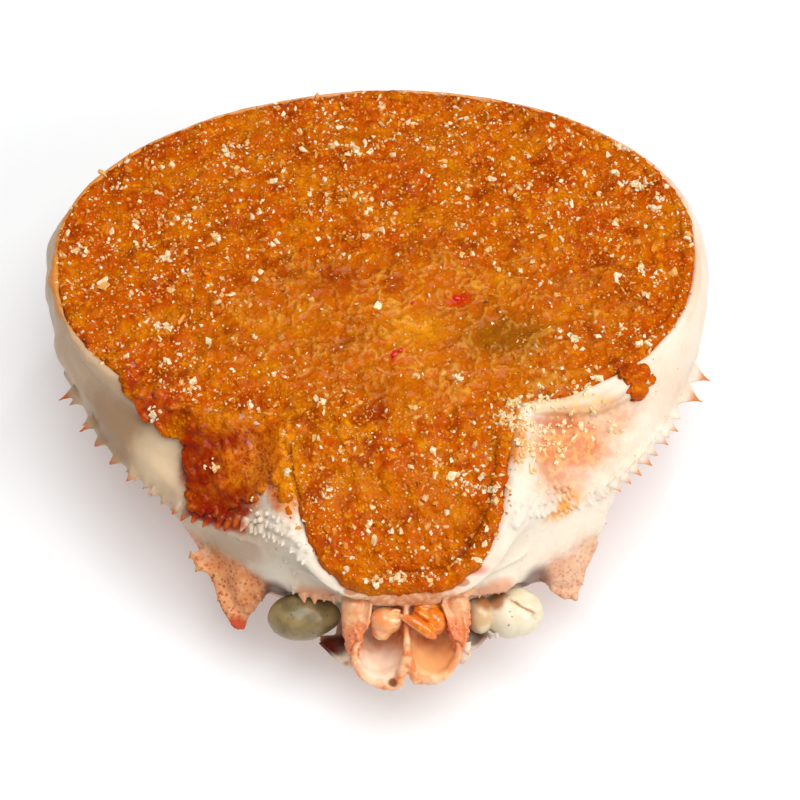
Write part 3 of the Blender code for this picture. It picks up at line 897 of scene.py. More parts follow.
def shell_look(settings):
    """Cream shell with pinkish clouds, boiled orange back, baked-on juices at the left front."""
    look = Look("crab_shell", Roughness=0.4, Specular_IOR_Level=0.3, Coat_Weight=0.04, Coat_Roughness=0.2,
                Subsurface_Weight=0.12, Subsurface_Scale=0.002, Subsurface_Radius=(1, 0.55, 0.3))
    across, forward, height = (look.axis(name) for name in "XYZ")
    clouds = look.noise(16, 3)
    fine = look.noise(1.3, 3, 0.6)
    wobble = look.noise(5, 4, 0.6, seed=2) * 0.9 - 0.45
    pale = look.blend(clouds.fade(0.42, 0.66), settings.cream, (228, 200, 174))
    pale = look.blend(look.noise(3, 4, 0.65).fade(0.5, 0.75, 0, 0.35), pale, (222, 180, 146))
    pale = look.blend(fine.fade(0.35, 0.75, 0, 0.25), pale, (238, 226, 208))
    # painted shade: the left side of the shell darker, away from the key light on the right
    painted_left_shade = (across + 20 * MM * wobble).fade_mm(-20, -48)
    pale = look.blend(painted_left_shade * 0.85, pale, (190, 156, 120))
    shaded = look.spots(wobble, (
        ((-54, -24, 33), (9.5, 9, 7), 0.4, 1),
        ((-32, -49.6, 28), (12, 4, 4), 0.5, 0.7),
    ))
    pale = look.blend(shaded * 0.7, pale, (156, 116, 80))
    freckles = look.cells(2.6).fade(0.11, 0.05) * clouds.fade(0.4, 0.55)
    pale = look.blend(freckles * 0.6, pale, (170, 116, 70))
    lit = look.spot((-46.5, -32.8, 34), (6.5, 5, 5.5), 0.5, wobble)
    pale = look.blend(lit * 0.75, pale, (232, 204, 166))

    # cooked back, below the band
    border = forward.fade_mm(-35, -60, 21 * MM, 15 * MM)
    over = height - border
    over = over + 6 * MM * wobble
    back = over.fade_mm(1.8, -2.6)
    boiled = look.blend(look.noise(9, 4, 0.6, seed=5).fade(0.38, 0.68), settings.boiled, (192, 90, 34))
    boiled = look.blend(look.cells(4.2).fade(0.34, 0.12, 0, 0.6), boiled, (226, 162, 102))
    boiled = look.blend(fine.fade(0.4, 0.8, 0, 0.35), boiled, (230, 166, 112))
    look.tint = look.blend(back, pale, boiled)

    # orange of the front plates, the teeth and the spine tips
    lip = look.spot((33.5, -28.6, 41.5), (12, 2.2, 3))
    look.paint(lip * fine.fade(0.3, 0.7, 0.3, 0.9), (232, 188, 128))
    plate = look.spots(wobble, (
        ((34, -35, 37.5), (10.5, 6.5, 5.5), 0.5, 1),
        ((31.5, -39.6, 36.5), (7.5, 6, 5), 0.6, 0.75),
        ((44, -29.5, 38), (7, 4, 4), 0.6, 0.6),
    ))
    dotted = look.blend(fine.fade(0.42, 0.62), (200, 100, 8), (224, 148, 62))
    look.paint(plate * 0.9, dotted)
    # a darker orange band under the lip: partly the plate's reddish edge, partly painted shadow below the
    # lip
    under = look.spot((32, -31.6, 40.5), (8, 1.1, 3), 0.5, wobble)
    look.paint(under * 0.7, (184, 84, 16))
    for side in (-1, 1):
        tooth = look.spot((side * 34.4, -53.6, 18.6), (11, 8.4, 6.2), 0.3, wobble)
        if side < 0:
            tooth = look.most(tooth, look.spot((-41, -46.5, 20.5), (3.5, 6, 4), 0.4, wobble))
        dots = look.cells(0.9, place=look.stirred(0.6, 1)).fade(0.2, 0.5)
        dots = dots * fine.fade(0.3, 0.6, 0.6, 1)
        tooth_tint = look.blend(dots, (178, 64, 6), (226, 160, 102))
        tooth_tint = look.blend(look.noise(4).fade(0.4, 0.6, 0, 0.5), tooth_tint, (206, 108, 40))
        look.paint(tooth * (0.9 if side < 0 else 0.65), tooth_tint)
        end = look.spot((side * 32.6, -60.6, 14.6), (3.4, 2.6, 2.4), 0.5, wobble)
        look.paint(end * (0.85 if side < 0 else 0.6), (186, 46, 6))
    above = height - (across * 0.248 + 40.8 * MM)
    left = look.spot((-36, -45.6, 32.8), (8.4, 4.6, 4.4), 0.3, wobble) * above.fade_mm(-1.4, -0.2)
    right = look.spot((30.4, -46, 32.4), (7, 3, 1.7), 0.4, wobble * 0.6)
    glazed = look.most(left, right * fine.fade(0.36, 0.56, 0.15, 0.9))
    look.paint(glazed, look.blend(across.fade_mm(5, -5), (228, 150, 50), (134, 26, 0)))
    tips = look.kept("tip")
    sharp = look.blend(across.fade_mm(-12, -30), (206, 104, 16), (196, 84, 0))
    tips = tips.fade(0.12, 0.9) * 0.95
    tips = tips * abs(across + 22 * MM).fade_mm(4, 9)
    look.paint(tips, sharp)

    # face: brows, cups
    brow = look.most(*(look.spot((side * 17, -60, 26), (6.5, 2.2, 2), 0.5, wobble) for side in (-1, 1)))
    look.paint(brow * 0.75, (212, 132, 84))
    cups = look.spot((0, -69, 20.5), (12, 8, 8), 0.2, wobble)
    flesh = look.blend(look.noise(2.6, 3, 0.6).fade(0.36, 0.62), (222, 120, 58), (242, 190, 140))
    look.paint(cups * 0.95, flesh)
    # painted light: the cup interiors paler than the cups to stand in for light in the hollows, the left
    # one near white as if lit
    lit_cup_lining = look.spot((-5, -69.4, 19), (4.2, 4.6, 5), 0.3, wobble * 0.5)
    look.paint(lit_cup_lining * 0.95, (255, 226, 200))
    lit_cup_lining = look.spot((5, -69, 19), (4.2, 4.6, 5), 0.3, wobble * 0.5)
    look.paint(lit_cup_lining * 0.95, (255, 190, 126))
    front = look.spot((0, -63.2, 30.2), (11.5, 2.4, 3), 0.35, wobble * 0.6)
    look.paint(front * 0.9, look.blend(fine.fade(0.4, 0.65), (226, 140, 84), (246, 196, 150)))
    ovals = look.spots(None, (
        ((-10.2, -62.3, 32), (1.5, 0.8, 0.9), 0.2, 1),
        ((10.8, -61.6, 32.4), (1.5, 0.8, 0.9), 0.2, 1),
    ))
    look.paint(ovals * 0.8, (188, 112, 46))
    redness = look.spot((13.6, -59.6, 33.4), (2.4, 1, 1.2), 0.5, wobble)
    look.paint(redness * 0.6, (206, 60, 26))
    # painted shade: a dark spot at the foot of the middle wall, standing for the shade in a hole
    painted_hole_shade = look.spot((-2.7, -74.3, 17.2), (1.1, 0.9, 1))
    look.paint(painted_hole_shade * 0.9, (120, 50, 16))
    yellow = look.spot((-21.2, -40.5, 41), (3.2, 9.5, 4), 0.35, wobble * 0.6)
    look.paint(yellow, look.blend(fine.fade(0.36, 0.6), (200, 96, 2), (226, 146, 10)))
    amber = look.spot((22.3, -35, 42.4), (1.9, 7.5, 3), 0.4, wobble)
    edge = height - forward.fade_mm(0, 51, 39.6 * MM, 36.1 * MM)
    edge = (edge + 3 * MM * wobble).fade_mm(-0.4, 0.5)
    edge = edge * (forward.fade_mm(-14, 4) * across.fade_mm(40, 54, 1, 0.3))
    amber = look.most(amber, edge) * fine.fade(0.3, 0.6, 0.6, 0.95)
    look.paint(amber, (214, 128, 8))

    # baked-on juices
    burnt = look.spots(wobble, (
        ((-38, -37, 37), (5, 7, 7), 0.3, 1),
        ((-34, -43.2, 35), (6.5, 3.4, 5), 0.35, 1),
        ((-34, -33, 40.8), (7, 1.8, 3), 0.4, 1),
    ))
    brown = look.spots(wobble, (
        ((-33, -38, 38), (9.5, 9.5, 8), 0.2, 1),
        ((-24, -40, 41), (1.8, 9, 4), 0.4, 1),
        ((-36, -30, 41.6), (9, 3.4, 2.4), 0.35, 1),
    ))
    net = look.cells(1.5, "DISTANCE_TO_EDGE", place=look.stirred(1.2, 2.5))
    crusted = look.blend(fine.fade(0.35, 0.7), (170, 66, 0), (206, 110, 20))
    crusted = look.blend(net.fade(0.12, 0.02, 0, 0.5), crusted, (216, 140, 100))
    look.paint(brown, crusted)
    look.paint(burnt * fine.fade(0.3, 0.7, 0.98, 0.75), settings.stain)

    # painted shade in the dark sockets beside the eyes and teeth
    painted_socket_shade = look.spots(None, (
        ((17.4, -60, 22), (4, 2.6, 3), 0.4, 0.6),
        ((-14.2, -64.6, 18), (3.6, 3.6, 4), 0.3, 1),
        ((25.4, -56, 20.6), (3.6, 3.4, 4.6), 0.35, 0.8),
        ((-24.6, -56.6, 21), (3, 2.6, 4), 0.35, 0.85),
        ((13.5, -64, 18.6), (3.4, 4, 4), 0.35, 0.7),
    ))
    look.paint(painted_socket_shade, (84, 26, 14))

    rough = (fine + burnt * -0.6).fade(-0.2, 0.9, 0.16, 0.52)
    grain = look.bump(look.noise(0.9, 3, 0.6), 0.12, 0.5)
    return look.finish(grain, rough)


class CRAB_OT_shell(bpy.types.Operator):
    """Models the crab's back shell: lips, ridge spines, beads, brows, teeth, front cups"""

    bl_idname = "crab.shell"
    bl_label = "Shell"

    def execute(self, context):
        settings = context.scene.crab_shell
        chance = random.Random(11)
        shell = copy_of("carapace", "shell")
        modify(shell, "SUBSURF", levels=2, render_levels=2)
        roots, crisp = ridge_spines(chance)
        crisp += mouth_beads(chance, settings.bead_radius) + prickles()
        parts = [shell] + roots + [self.twin(part) for part in crisp]
        parts += ridge_edge() + rolled_lips(settings.lip_radius)
        parts += [slab(corners, thickness) for thickness, corners in PLATES]
        parts += [bar(spots) for spots in BARS]
        shell = join(parts, "shell")
        melt(shell, settings.mesh_size * (1), 3)
        shell_relief(shell)
        self.thin(shell, settings.triangles)
        shell = join([shell] + crisp, "shell")
        self.mark_tips(shell)
        complete(shell, shell_look(settings), "shell", "carapace")
        return {"FINISHED"}

    def twin(self, part):
        """A copy with its own mesh, to be melted in at the root of the crisp one."""
        only(part)
        bpy.ops.object.duplicate()
        return active()

    def thin(self, shell, most):
        """Thins the mesh, far more on the skin that the filling hides."""
        hidden = shell.vertex_groups.new(name="hidden")
        hidden.add(range(len(shell.data.vertices)), 1, "REPLACE")
        inner = bpy.context.scene.objects["stuffing"]
        modify(shell, "VERTEX_WEIGHT_PROXIMITY", vertex_group="hidden", target=inner,
               proximity_mode="GEOMETRY", proximity_geometry={"FACE"}, min_dist=1.3 * MM, max_dist=0.9 * MM)
        hidden = shell.vertex_groups["hidden"]
        seen = [v.index for v in shell.data.vertices if v.groups[0].weight < 0.5]
        hidden.add(seen, 0.1, "REPLACE")
        thin_hidden(shell, most)

    def mark_tips(self, shell):
        """Marks the points near a spine's outer end, for their orange."""
        places = vertices_of(shell)
        values = np.zeros(len(places), np.float32)
        for x, y, z, length, _ in PRICKLES:
            far = np.linalg.norm(places - np.array(mm(x, y, z), np.float32), axis=1)
            values = np.maximum(values, 1 - far / ((0.9 * length + 0.5) * MM))
        across = np.abs(places[:, 0] - RIM_CENTRE[0]) / RIDGE_HALF_WIDTH
        along = np.maximum(0, RIM_CENTRE[1] - places[:, 1]) / RIDGE_TO_FRONT
        reach = (across**RIDGE_POWER + along**RIDGE_POWER) ** (1 / RIDGE_POWER)
        level = ridge_height(places[:, 1])
        beside = (np.abs(places[:, 2] - level) < 3.2 * MM) & (places[:, 1] < -8 * MM)
        beside &= np.abs(places[:, 0]) > 24 * MM
        start = np.where(places[:, 0] < 0, 0.3, 0.9) * MM
        outside = np.clip(((reach - 1) * RIDGE_TYPICAL_REACH - start) / (2.2 * MM), 0, 1)
        values = np.maximum(values, np.where(beside, outside, 0))
        for x, y, _ in SPINES:
            if LOW_SPINES_START < x < -30:
                place = Vector(mm(x, y, 0))
                place += outward(place) * (1.2 if x < -34 else 0.2) * MM
                far = np.hypot(places[:, 0] - place.x, places[:, 1] - place.y)
                near = 1.1 - far / ((1.5 if x < -34 else 1.1) * MM)
                values = np.maximum(values, np.where(places[:, 2] > level - 1.4 * MM, near, 0))
        store(shell.data, "tip", values)


# ---- filling ----

# Where the crust has run over the shell, in millimetres: centre across and forward, half width and depth
SPILLS = (
    (-53.2, -14.2, 1.4, 2.4), (-51.8, -17, 1.8, 2.6), (-49.6, -20.6, 2.4, 3), (-46, -24, 3.2, 2.8),
    (-41.8, -27.6, 3.6, 2.8), (-38, -30.6, 3.6, 2.6), (-33.4, -31.4, 4.6, 2.6), (-28, -32, 4.4, 2.6),
    (-24, -32.6, 3, 2.6), (-37, -35.6, 4.4, 3.6), (-31, -36, 4.6, 3.6), (-37.4, -40.4, 3.4, 3.6),
    (-33, -41.6, 4.6, 3.6), (-28.6, -40.4, 3.2, 4), (-26, -37, 2.2, 4), (-21.8, -36, 2.6, 3.8),
    (-21.2, -41.4, 2.5, 3.8), (-20.2, -46.2, 2.2, 3.2), (46.6, -22.4, 2.9, 1.4), (46.4, -24.2, 1.4, 1.6),
)


# Degrees from one point to the next of the rows of crust along the rim
ROW_STEP = 2.6

# Height below which the shell hides the filling
CRUST_BOTTOM = 29 * MM


def crust_runs(chance):
    """Flat drops of crust: rows along the rim and the front of the mouth, and runs on the shell."""
    tree = shell_tree()
    made = []
    step = 1 * MM
    for cx, cy, across, along in SPILLS:
        for i in range(-5, 6):
            for j in range(-5, 6):
                x = cx * MM + (i + chance.uniform(-0.35, 0.35)) * step
                y = cy * MM + (j + chance.uniform(-0.35, 0.35)) * step
                if ((x / MM - cx) / across) ** 2 + ((y / MM - cy) / along) ** 2 > 1:
                    continue
                hit, slope, _ = land(tree, x, y)
                if hit is None:
                    continue
                turn = slope.to_track_quat("Z", "Y").to_euler()
                width = chance.uniform(0.7, 1.25) * MM
                if cx < -39:
                    width = chance.uniform(1.3, 1.7) * MM
                half = (width, width * chance.uniform(0.7, 1), chance.uniform(0.3, 0.5) * MM)
                made.append(ball(hit, half, turn, 10, 6))
    for first, last in ((-48, 58), (122, 312)):
        points = []
        for number in range(int((last - first) / ROW_STEP)):
            turn = first + number * ROW_STEP
            points.append(rim_place(turn, chance.uniform(-1.6, -0.9) * MM, chance.uniform(-1, -0.5) * MM))
        made.append(tube(points, [chance.uniform(0.45, 0.85) * MM for _ in points]))
    points, sizes = [], []
    for number in range(45):
        turn = mix(4, 176, number / 44)
        inset = mix(-2.6, -0.9, math.sin(math.radians(turn)) ** 4)
        place = mouth_place(turn, (inset + chance.uniform(-0.3, 0.3)) * MM, chance.uniform(-0.5, -0.1) * MM)
        ahead = min(1, max(0, (-place.y - 46 * MM) / (14 * MM)))
        place.z += ahead * 0.3 * MM
        place.y -= ahead * 0.7 * MM
        points.append(place)
        sizes.append(chance.uniform(0.85, 1.15) * mix(0.7, 1.5, ahead) * MM)
    made.append(tube(points, sizes))
    return made


def crust_look(settings):
    """Baked orange crust: browned patches, yellow lifts, grain tops painted lighter as pale grain and
    painted highlight, painted shade in the low places, wet smooth places in the middle.
    """
    look = Look("crab_crust", Roughness=0.5, Specular_IOR_Level=0.08, Coat_Roughness=0.06,
                Specular_Tint=Color((1, 0.5, 0.1)))
    relief = look.kept("relief")
    wet = look.kept("wet")
    stirred = look.stirred(1.6, 4)
    broad = look.noise(12, 3, 0.55, seed=1)
    look.tint = look.blend(broad.fade(0.38, 0.62), settings.crust, (182, 70, 0))
    ochre = look.noise(9, 4, 0.6, 0.3, seed=12)
    look.paint(ochre.fade(0.5, 0.64, 0, 0.8), (196, 108, 0))
    patches = look.noise(7, 5, 0.62, seed=3)
    look.paint(patches.fade(0.5, 0.66, 0, 0.9), settings.browned)
    mottle = look.noise(1.9, 4, 0.65, seed=4)
    look.paint(mottle.fade(0.46, 0.3, 0, 0.65), (160, 50, 0))
    look.paint(mottle.fade(0.53, 0.72, 0, 0.75), (220, 140, 2))
    # painted shade: the crust darker in the low places of its relief
    look.paint(relief.fade(-0.1, -0.9, 0, 0.45), (138, 44, 0))
    look.paint(wet * broad.fade(0.4, 0.6, 0.1, 0.4), (192, 110, 0))
    wobble = look.noise(4, 4, 0.6, seed=2) * 0.9 - 0.45
    olive = look.spot((22.2, -12.6, 41.5), (8.5, 5, 5), 0.6, wobble)
    look.paint(olive * 0.7, (128, 70, 2))
    gold = look.spot((4.5, -10, 41.5), (6.5, 4, 5), 0.6, wobble)
    look.paint(gold * mottle.fade(0.3, 0.6, 0.2, 0.7), (218, 142, 10))
    rosy = look.spots(wobble * 0.6, (
        ((13, -2.9, 41), (2.1, 1.7, 4), 0.7, 1),
        ((0.2, -16.6, 42), (1.7, 1.4, 4), 0.7, 1),
    ))
    look.paint(rosy * 0.85, (190, 22, 0))
    films = look.kept("film") * mottle.fade(0.35, 0.6, 0.5, 1)
    look.paint(films * 0.5, (218, 160, 60))
    yellow = look.spots(None, (
        ((-21.5, -39, 41), (3, 9, 4), 0.5, 1),
        ((-27, -29, 41.5), (8, 1.6, 3), 0.5, 0.6),
        ((22, -36, 42), (2.4, 6, 4), 0.5, 0.7),
    ))
    look.paint(yellow * mottle.fade(0.3, 0.6, 0.3, 0.85), (222, 136, 6))
    grain = look.cells(0.8, place=stirred)
    chosen = look.cells(0.8, place=stirred, output="Color")
    pick, other = (look.node("ShaderNodeSeparateColor", {0: chosen}, name) for name in ("Red", "Green"))
    # grain tops painted lighter: partly pale grains, partly painted highlights
    lit = grain.fade(0.55, 0.15) * pick.fade(0.45, 0.9) * wet.fade(0.2, 0.9, 1, 0.5)
    look.paint(lit * 0.6, (228, 150, 40))
    specks = look.cells(2.9).fade(0.09, 0.05) * other.fade(0.4, 0.6)
    look.paint(specks * 0.7, (86, 70, 40))

    # juices baked dark at the left front
    plate = look.spot((-31, -38, 39), (9, 8.5, 8))
    net = look.cells(1.2, "DISTANCE_TO_EDGE", place=look.stirred(1.6, 2))
    baked = look.blend(mottle.fade(0.38, 0.6), (176, 66, 0), (206, 110, 16))
    netted = net.fade(0.14, 0.02, 0, 0.4) * look.axis("X").fade_mm(-36, -29)
    netted = netted * patches.fade(0.4, 0.55)
    baked = look.blend(netted, baked, (216, 140, 60))
    look.paint(plate, baked)
    dark = look.spots(wobble, (
        ((-38.6, -38, 37.5), (4.4, 8.5, 8), 0.4, 1),
        ((-35, -44, 35), (7, 3.2, 6), 0.4, 1),
        ((-35.5, -33.4, 40.5), (7, 1.8, 4), 0.5, 1),
        ((-45, -24.6, 41), (3, 2.2, 3), 0.5, 0.7),
        ((-9.5, 2.6, 40.6), (4.5, 3.5, 4), 0.6, 0.6),
        ((-3.4, -28.7, 42.2), (1.8, 2.4, 4), 0.6, 0.6),
    ))
    look.paint(dark * mottle.fade(0.35, 0.65, 0.97, 0.7), (136, 22, 0))
    film = look.spots(wobble, (
        ((-50.6, -18.6, 42), (1.6, 4, 4), 0.4, 1),
        ((-45.8, -25, 41), (4.8, 3.8, 4), 0.35, 1),
    ))
    look.paint(film, look.blend(mottle.fade(0.4, 0.6), (160, 44, 0), (190, 78, 0)))
    rough = look.noise(5, 3, 0.6, seed=7).fade(0.35, 0.65, 0.35, 0.6)
    shine = wet * 0.6 + look.noise(3, 3) * 0.6
    shine = look.most((shine + dark * 0.6).fade(0.4, 1, 0.06, 0.24), film * 0.5)
    look.feed(look.shader.inputs["Coat Weight"], shine)
    smooth = 1 - look.most(film * 0.85, dark * 0.6, broad.fade(0.6, 0.4) * (wet * 0.8))
    fine = look.bump(look.noise(0.45, 2, 0.6) * smooth, 0.16, 0.7)
    fine = look.bump(grain.fade(0.6, 0.1) * smooth, 0.22, 0.8, fine)
    return look.finish(fine, rough)


class CRAB_OT_filling(bpy.types.Operator):
    """Models the filling, with the relief of its baked crust and the runs over the shell"""

    bl_idname = "crab.filling"
    bl_label = "Filling"

    def execute(self, context):
        settings = context.scene.crab_filling
        filling = copy_of("filling", "stuffing")
        modify(filling, "SUBSURF", subdivision_type="SIMPLE", levels=1, render_levels=1)
        filling = join([filling] + crust_runs(random.Random(5)), "stuffing")
        melt(filling, settings.mesh_size * (1), 4)
        places = vertices_of(filling).tolist()
        store(filling.data, "spilt", [0.0 if inside_opening(x, y, 0.8 * MM) else 1.0 for x, y, _ in places])
        carve = Relief("crust_relief")
        hollow_plates(carve)
        top = carve.axis("Z", carve.normal).fade(0.35, 0.8)
        top = top * carve.axis("Z").fade_mm(26, 30)
        carve.keep("top", top)
        ragged = carve.noise(9, 3, 0.6, seed=4) * 1.6 - 0.8
        wet = carve.spots(ragged, (
            ((2, -8, 40), (36, 17, 20), 0.4, 1),
            ((12, -20, 40), (22, 9, 20), 0.4, 1),
        ))
        carve.keep("wet", wet)
        swell = (carve.noise(15, seed=1) - 0.5) * settings.swell
        lumps = (carve.noise(4.2, 3, 0.6, 0.4, seed=2) - 0.5) * settings.lumps
        lifts = 0.6 * MM * carve.cells(2.2, "SMOOTH_F1", place=carve.stirred(1, 2)).fade(0.6, 0.1)
        seam = abs(carve.noise(6.5, 3, 0.55, 0.8, seed=9) - 0.5)
        seam = seam.fade(0.035, 0.005) * wet
        carve.keep("film", seam)
        grain = (carve.noise(0.9, 2, 0.7, seed=3) - 0.5) * settings.grain
        calm = wet.fade(0.1, 0.9, 1, 0.45)
        small = (lifts + grain) * calm
        total = swell + lumps + (small + 0.5 * MM * seam)
        relief = 1 / (0.8 * MM) * (lumps + (lifts + grain))
        carve.keep("relief", relief)
        across = abs(1 / MOUTH_HALF_WIDTH * carve.axis("X")) ** 3
        ahead = MOUTH_START_Y - carve.axis("Y")
        ahead = (1 / MOUTH_LENGTH * carve.most(ahead, 0)) ** 3
        edge = (across + ahead).fade(0.66, 0.9)
        edge = edge * carve.axis("Y").fade_mm(-32, -35)
        edge = edge * carve.axis("Y").fade_mm(-60, -56)
        edge = edge * carve.most(carve.axis("X").fade_mm(-2, 2), carve.axis("Y").fade_mm(-47, -51))
        total = total - 0.45 * MM * edge
        spilt = carve.kept("spilt")
        thin = (lifts + grain) * 0.9 + lumps * 0.12
        glazed = carve.axis("X").fade_mm(-39, -42.5)
        thin = thin * glazed.fade(0, 1, 1, 0.12)
        total = total * spilt.fade(0.9, 0.1) + thin * spilt.fade(0.1, 0.9)
        carve.move((0, 0, 1), total * top)
        spread = carve.noise(2.6, 3, 0.6, seed=8)
        side = carve.axis("Z").fade_mm(26, 31) * (1 - top)
        carve.move(carve.normal, side * spread.fade(0.3, 0.7, 0.3 * MM, 1 * MM))
        carve.apply(filling)
        self.thin(filling, settings.triangles)
        complete(filling, crust_look(settings), "filling", "filling")
        return {"FINISHED"}

    def thin(self, filling, most):
        """Thins the walls and the underside, which the shell hides, and leaves the crust alone."""
        hidden = filling.vertex_groups.new(name="hidden")
        hidden.add(range(len(filling.data.vertices)), 0.1, "REPLACE")
        covered = (stored(filling.data, "top") < 0.1) & (vertices_of(filling)[:, 2] < CRUST_BOTTOM)
        hidden.add(np.nonzero(covered)[0].tolist(), 1, "REPLACE")
        thin_hidden(filling, most)


# ---- crumbs ----

# Drifts of crumbs, in millimetres: centre across and forward, half width, number of coarse crumbs
DRIFTS = (
    (-60.9, 12.1, 2.4, 12), (-54.5, 29, 1.6, 6), (-40.3, 19.1, 2.6, 12), (-49.8, 14.7, 1.8, 8),
    (-34.3, 15.2, 1.4, 5), (-44.3, 10, 1.8, 9), (-45.5, -8.8, 2.4, 12), (-44.3, -15.2, 1.2, 6),
    (-39.5, -21.1, 1.6, 7), (-28.8, -26.1, 1.6, 7), (23.4, -33.4, 2.4, 30), (24.2, -38, 2, 26),
    (12.1, -44.1, 3.4, 26), (17.4, -46.8, 1.8, 14), (28.3, -36, 2.6, 22), (31.4, -31.8, 3.4, 26),
    (26.4, -31.8, 2.4, 20), (22.4, -28.8, 2.2, 22), (28.6, -27, 3, 20), (35.3, -25.6, 2, 12),
    (37, -31.2, 2.4, 10), (42.6, -30, 2.2, 8), (25.4, -42.6, 1.4, 8), (20.4, -32, 2, 14),
    (38, -24, 1.6, 7), (35.2, -14.1, 1.4, 5), (-0.6, -61.8, 1.8, 16), (5, -61.6, 1.6, 12),
    (-5.4, -61.8, 1.4, 9), (-13.5, -45.3, 1.2, 5), (-7.1, -51.4, 1.4, 6), (11.4, -22, 1.4, 5),
    (4.7, -21, 1.2, 4), (51.3, 24.7, 3.2, 16), (53.8, 19.3, 2, 9), (48, 34, 2.4, 9), (49.3, 2.6, 2, 7),
    (-30.2, 39.6, 2.4, 10), (-4.8, 36.3, 2.6, 10), (-3.4, 20.6, 2, 7), (32.4, -12.6, 1.4, 4),
    (48.6, -23.4, 0.6, 2), (-36.6, -36.8, 1.2, 6), (-28, -45, 1.2, 4), (-46.8, -27.2, 0.9, 14),
)


# Dark threads and red shreds in the crust, in millimetres: centre across and forward, length
THREADS = (
    (2.9, -44.6, 1.5), (3.7, -43.9, 0.9), (-43.5, 4.4, 0.9), (-29.9, -12.2, 0.8), (-21, 0.5, 0.7),
    (18.5, -4, 1), (30, 12, 0.8), (-8, 24, 0.8),
)
RED_SHREDS = ((0.1, -16.2, 0.9), (1.2, -15.8, 0.6), (12.8, -2.5, 0.85), (4.1, -3.6, 0.5), (-47, 2, 0.4))

# Share of its size that a crumb sinks into what it lies on
CRUMB_SUNK = 0.1


def crumb_forms(chance, count, bevel):
    """A few different crumbs, each a small block pulled out of square, as (points, triangles)."""
    forms = []
    for _ in range(count):
        bpy.ops.mesh.primitive_cube_add(size=1.5)
        obj = active()
        for vertex in obj.data.vertices:
            vertex.co *= chance.uniform(0.65, 1.2)
            vertex.co += Vector([chance.uniform(-0.34, 0.34) for _ in range(3)])
        if bevel:
            modify(obj, "BEVEL", width=bevel, segments=1)
        modify(obj, "TRIANGULATE")
        stretch = Vector((chance.uniform(0.8, 1.5), chance.uniform(0.7, 1.1), chance.uniform(0.5, 0.85)))
        points = np.array([[v.co[i] * stretch[i] for i in range(3)] for v in obj.data.vertices])
        faces = np.array([list(face.vertices) for face in obj.data.polygons])
        forms.append((points, faces))
        bpy.data.objects.remove(obj)
    return forms


def strew(name, forms, places, chance):
    """One mesh of many crumbs: each place is a point, its slope, a size and the least paleness."""
    points, faces, tints = [], [], []
    used = 0
    for place, slope, size, least in places:
        form, sides = forms[chance.randrange(len(forms))]
        turn = Euler([chance.uniform(0, 2 * math.pi) for _ in range(3)]).to_matrix()
        turned = form @ np.array(turn).T * size
        points.append(turned + np.array(place - slope * size * CRUMB_SUNK))
        faces.append(sides + used)
        tints.append(np.full(len(form), mix(least, 1, chance.random()), np.float32))
        used += len(form)
    mesh = bpy.data.meshes.new(name)
    mesh.from_pydata(np.concatenate(points).tolist(), [], np.concatenate(faces).tolist())
    store(mesh, "tint", np.concatenate(tints))
    return placed(name, mesh)


def crumb_look(name, tint, pale):
    """Pale crumbs, this share of them; the others have soaked up the orange of the crust."""
    look = Look(name, Roughness=0.35, Specular_IOR_Level=0.4, Subsurface_Weight=0.35,
                Subsurface_Scale=0.0008, Subsurface_Radius=(1, 0.6, 0.3))
    look.tint = look.ramp(look.kept("tint"), (0, (204, 104, 4)), ((1 - pale) * 0.6, (216, 132, 20)),
                          (1 - pale * 0.8, (228, 176, 100)), (1 - pale * 0.4, tint))
    look.paint(look.noise(0.6).fade(0.4, 0.7, 0, 0.4), (218, 146, 60))
    return look.finish(look.bump(look.noise(0.25, 2, 0.6), 0.1, 0.5))


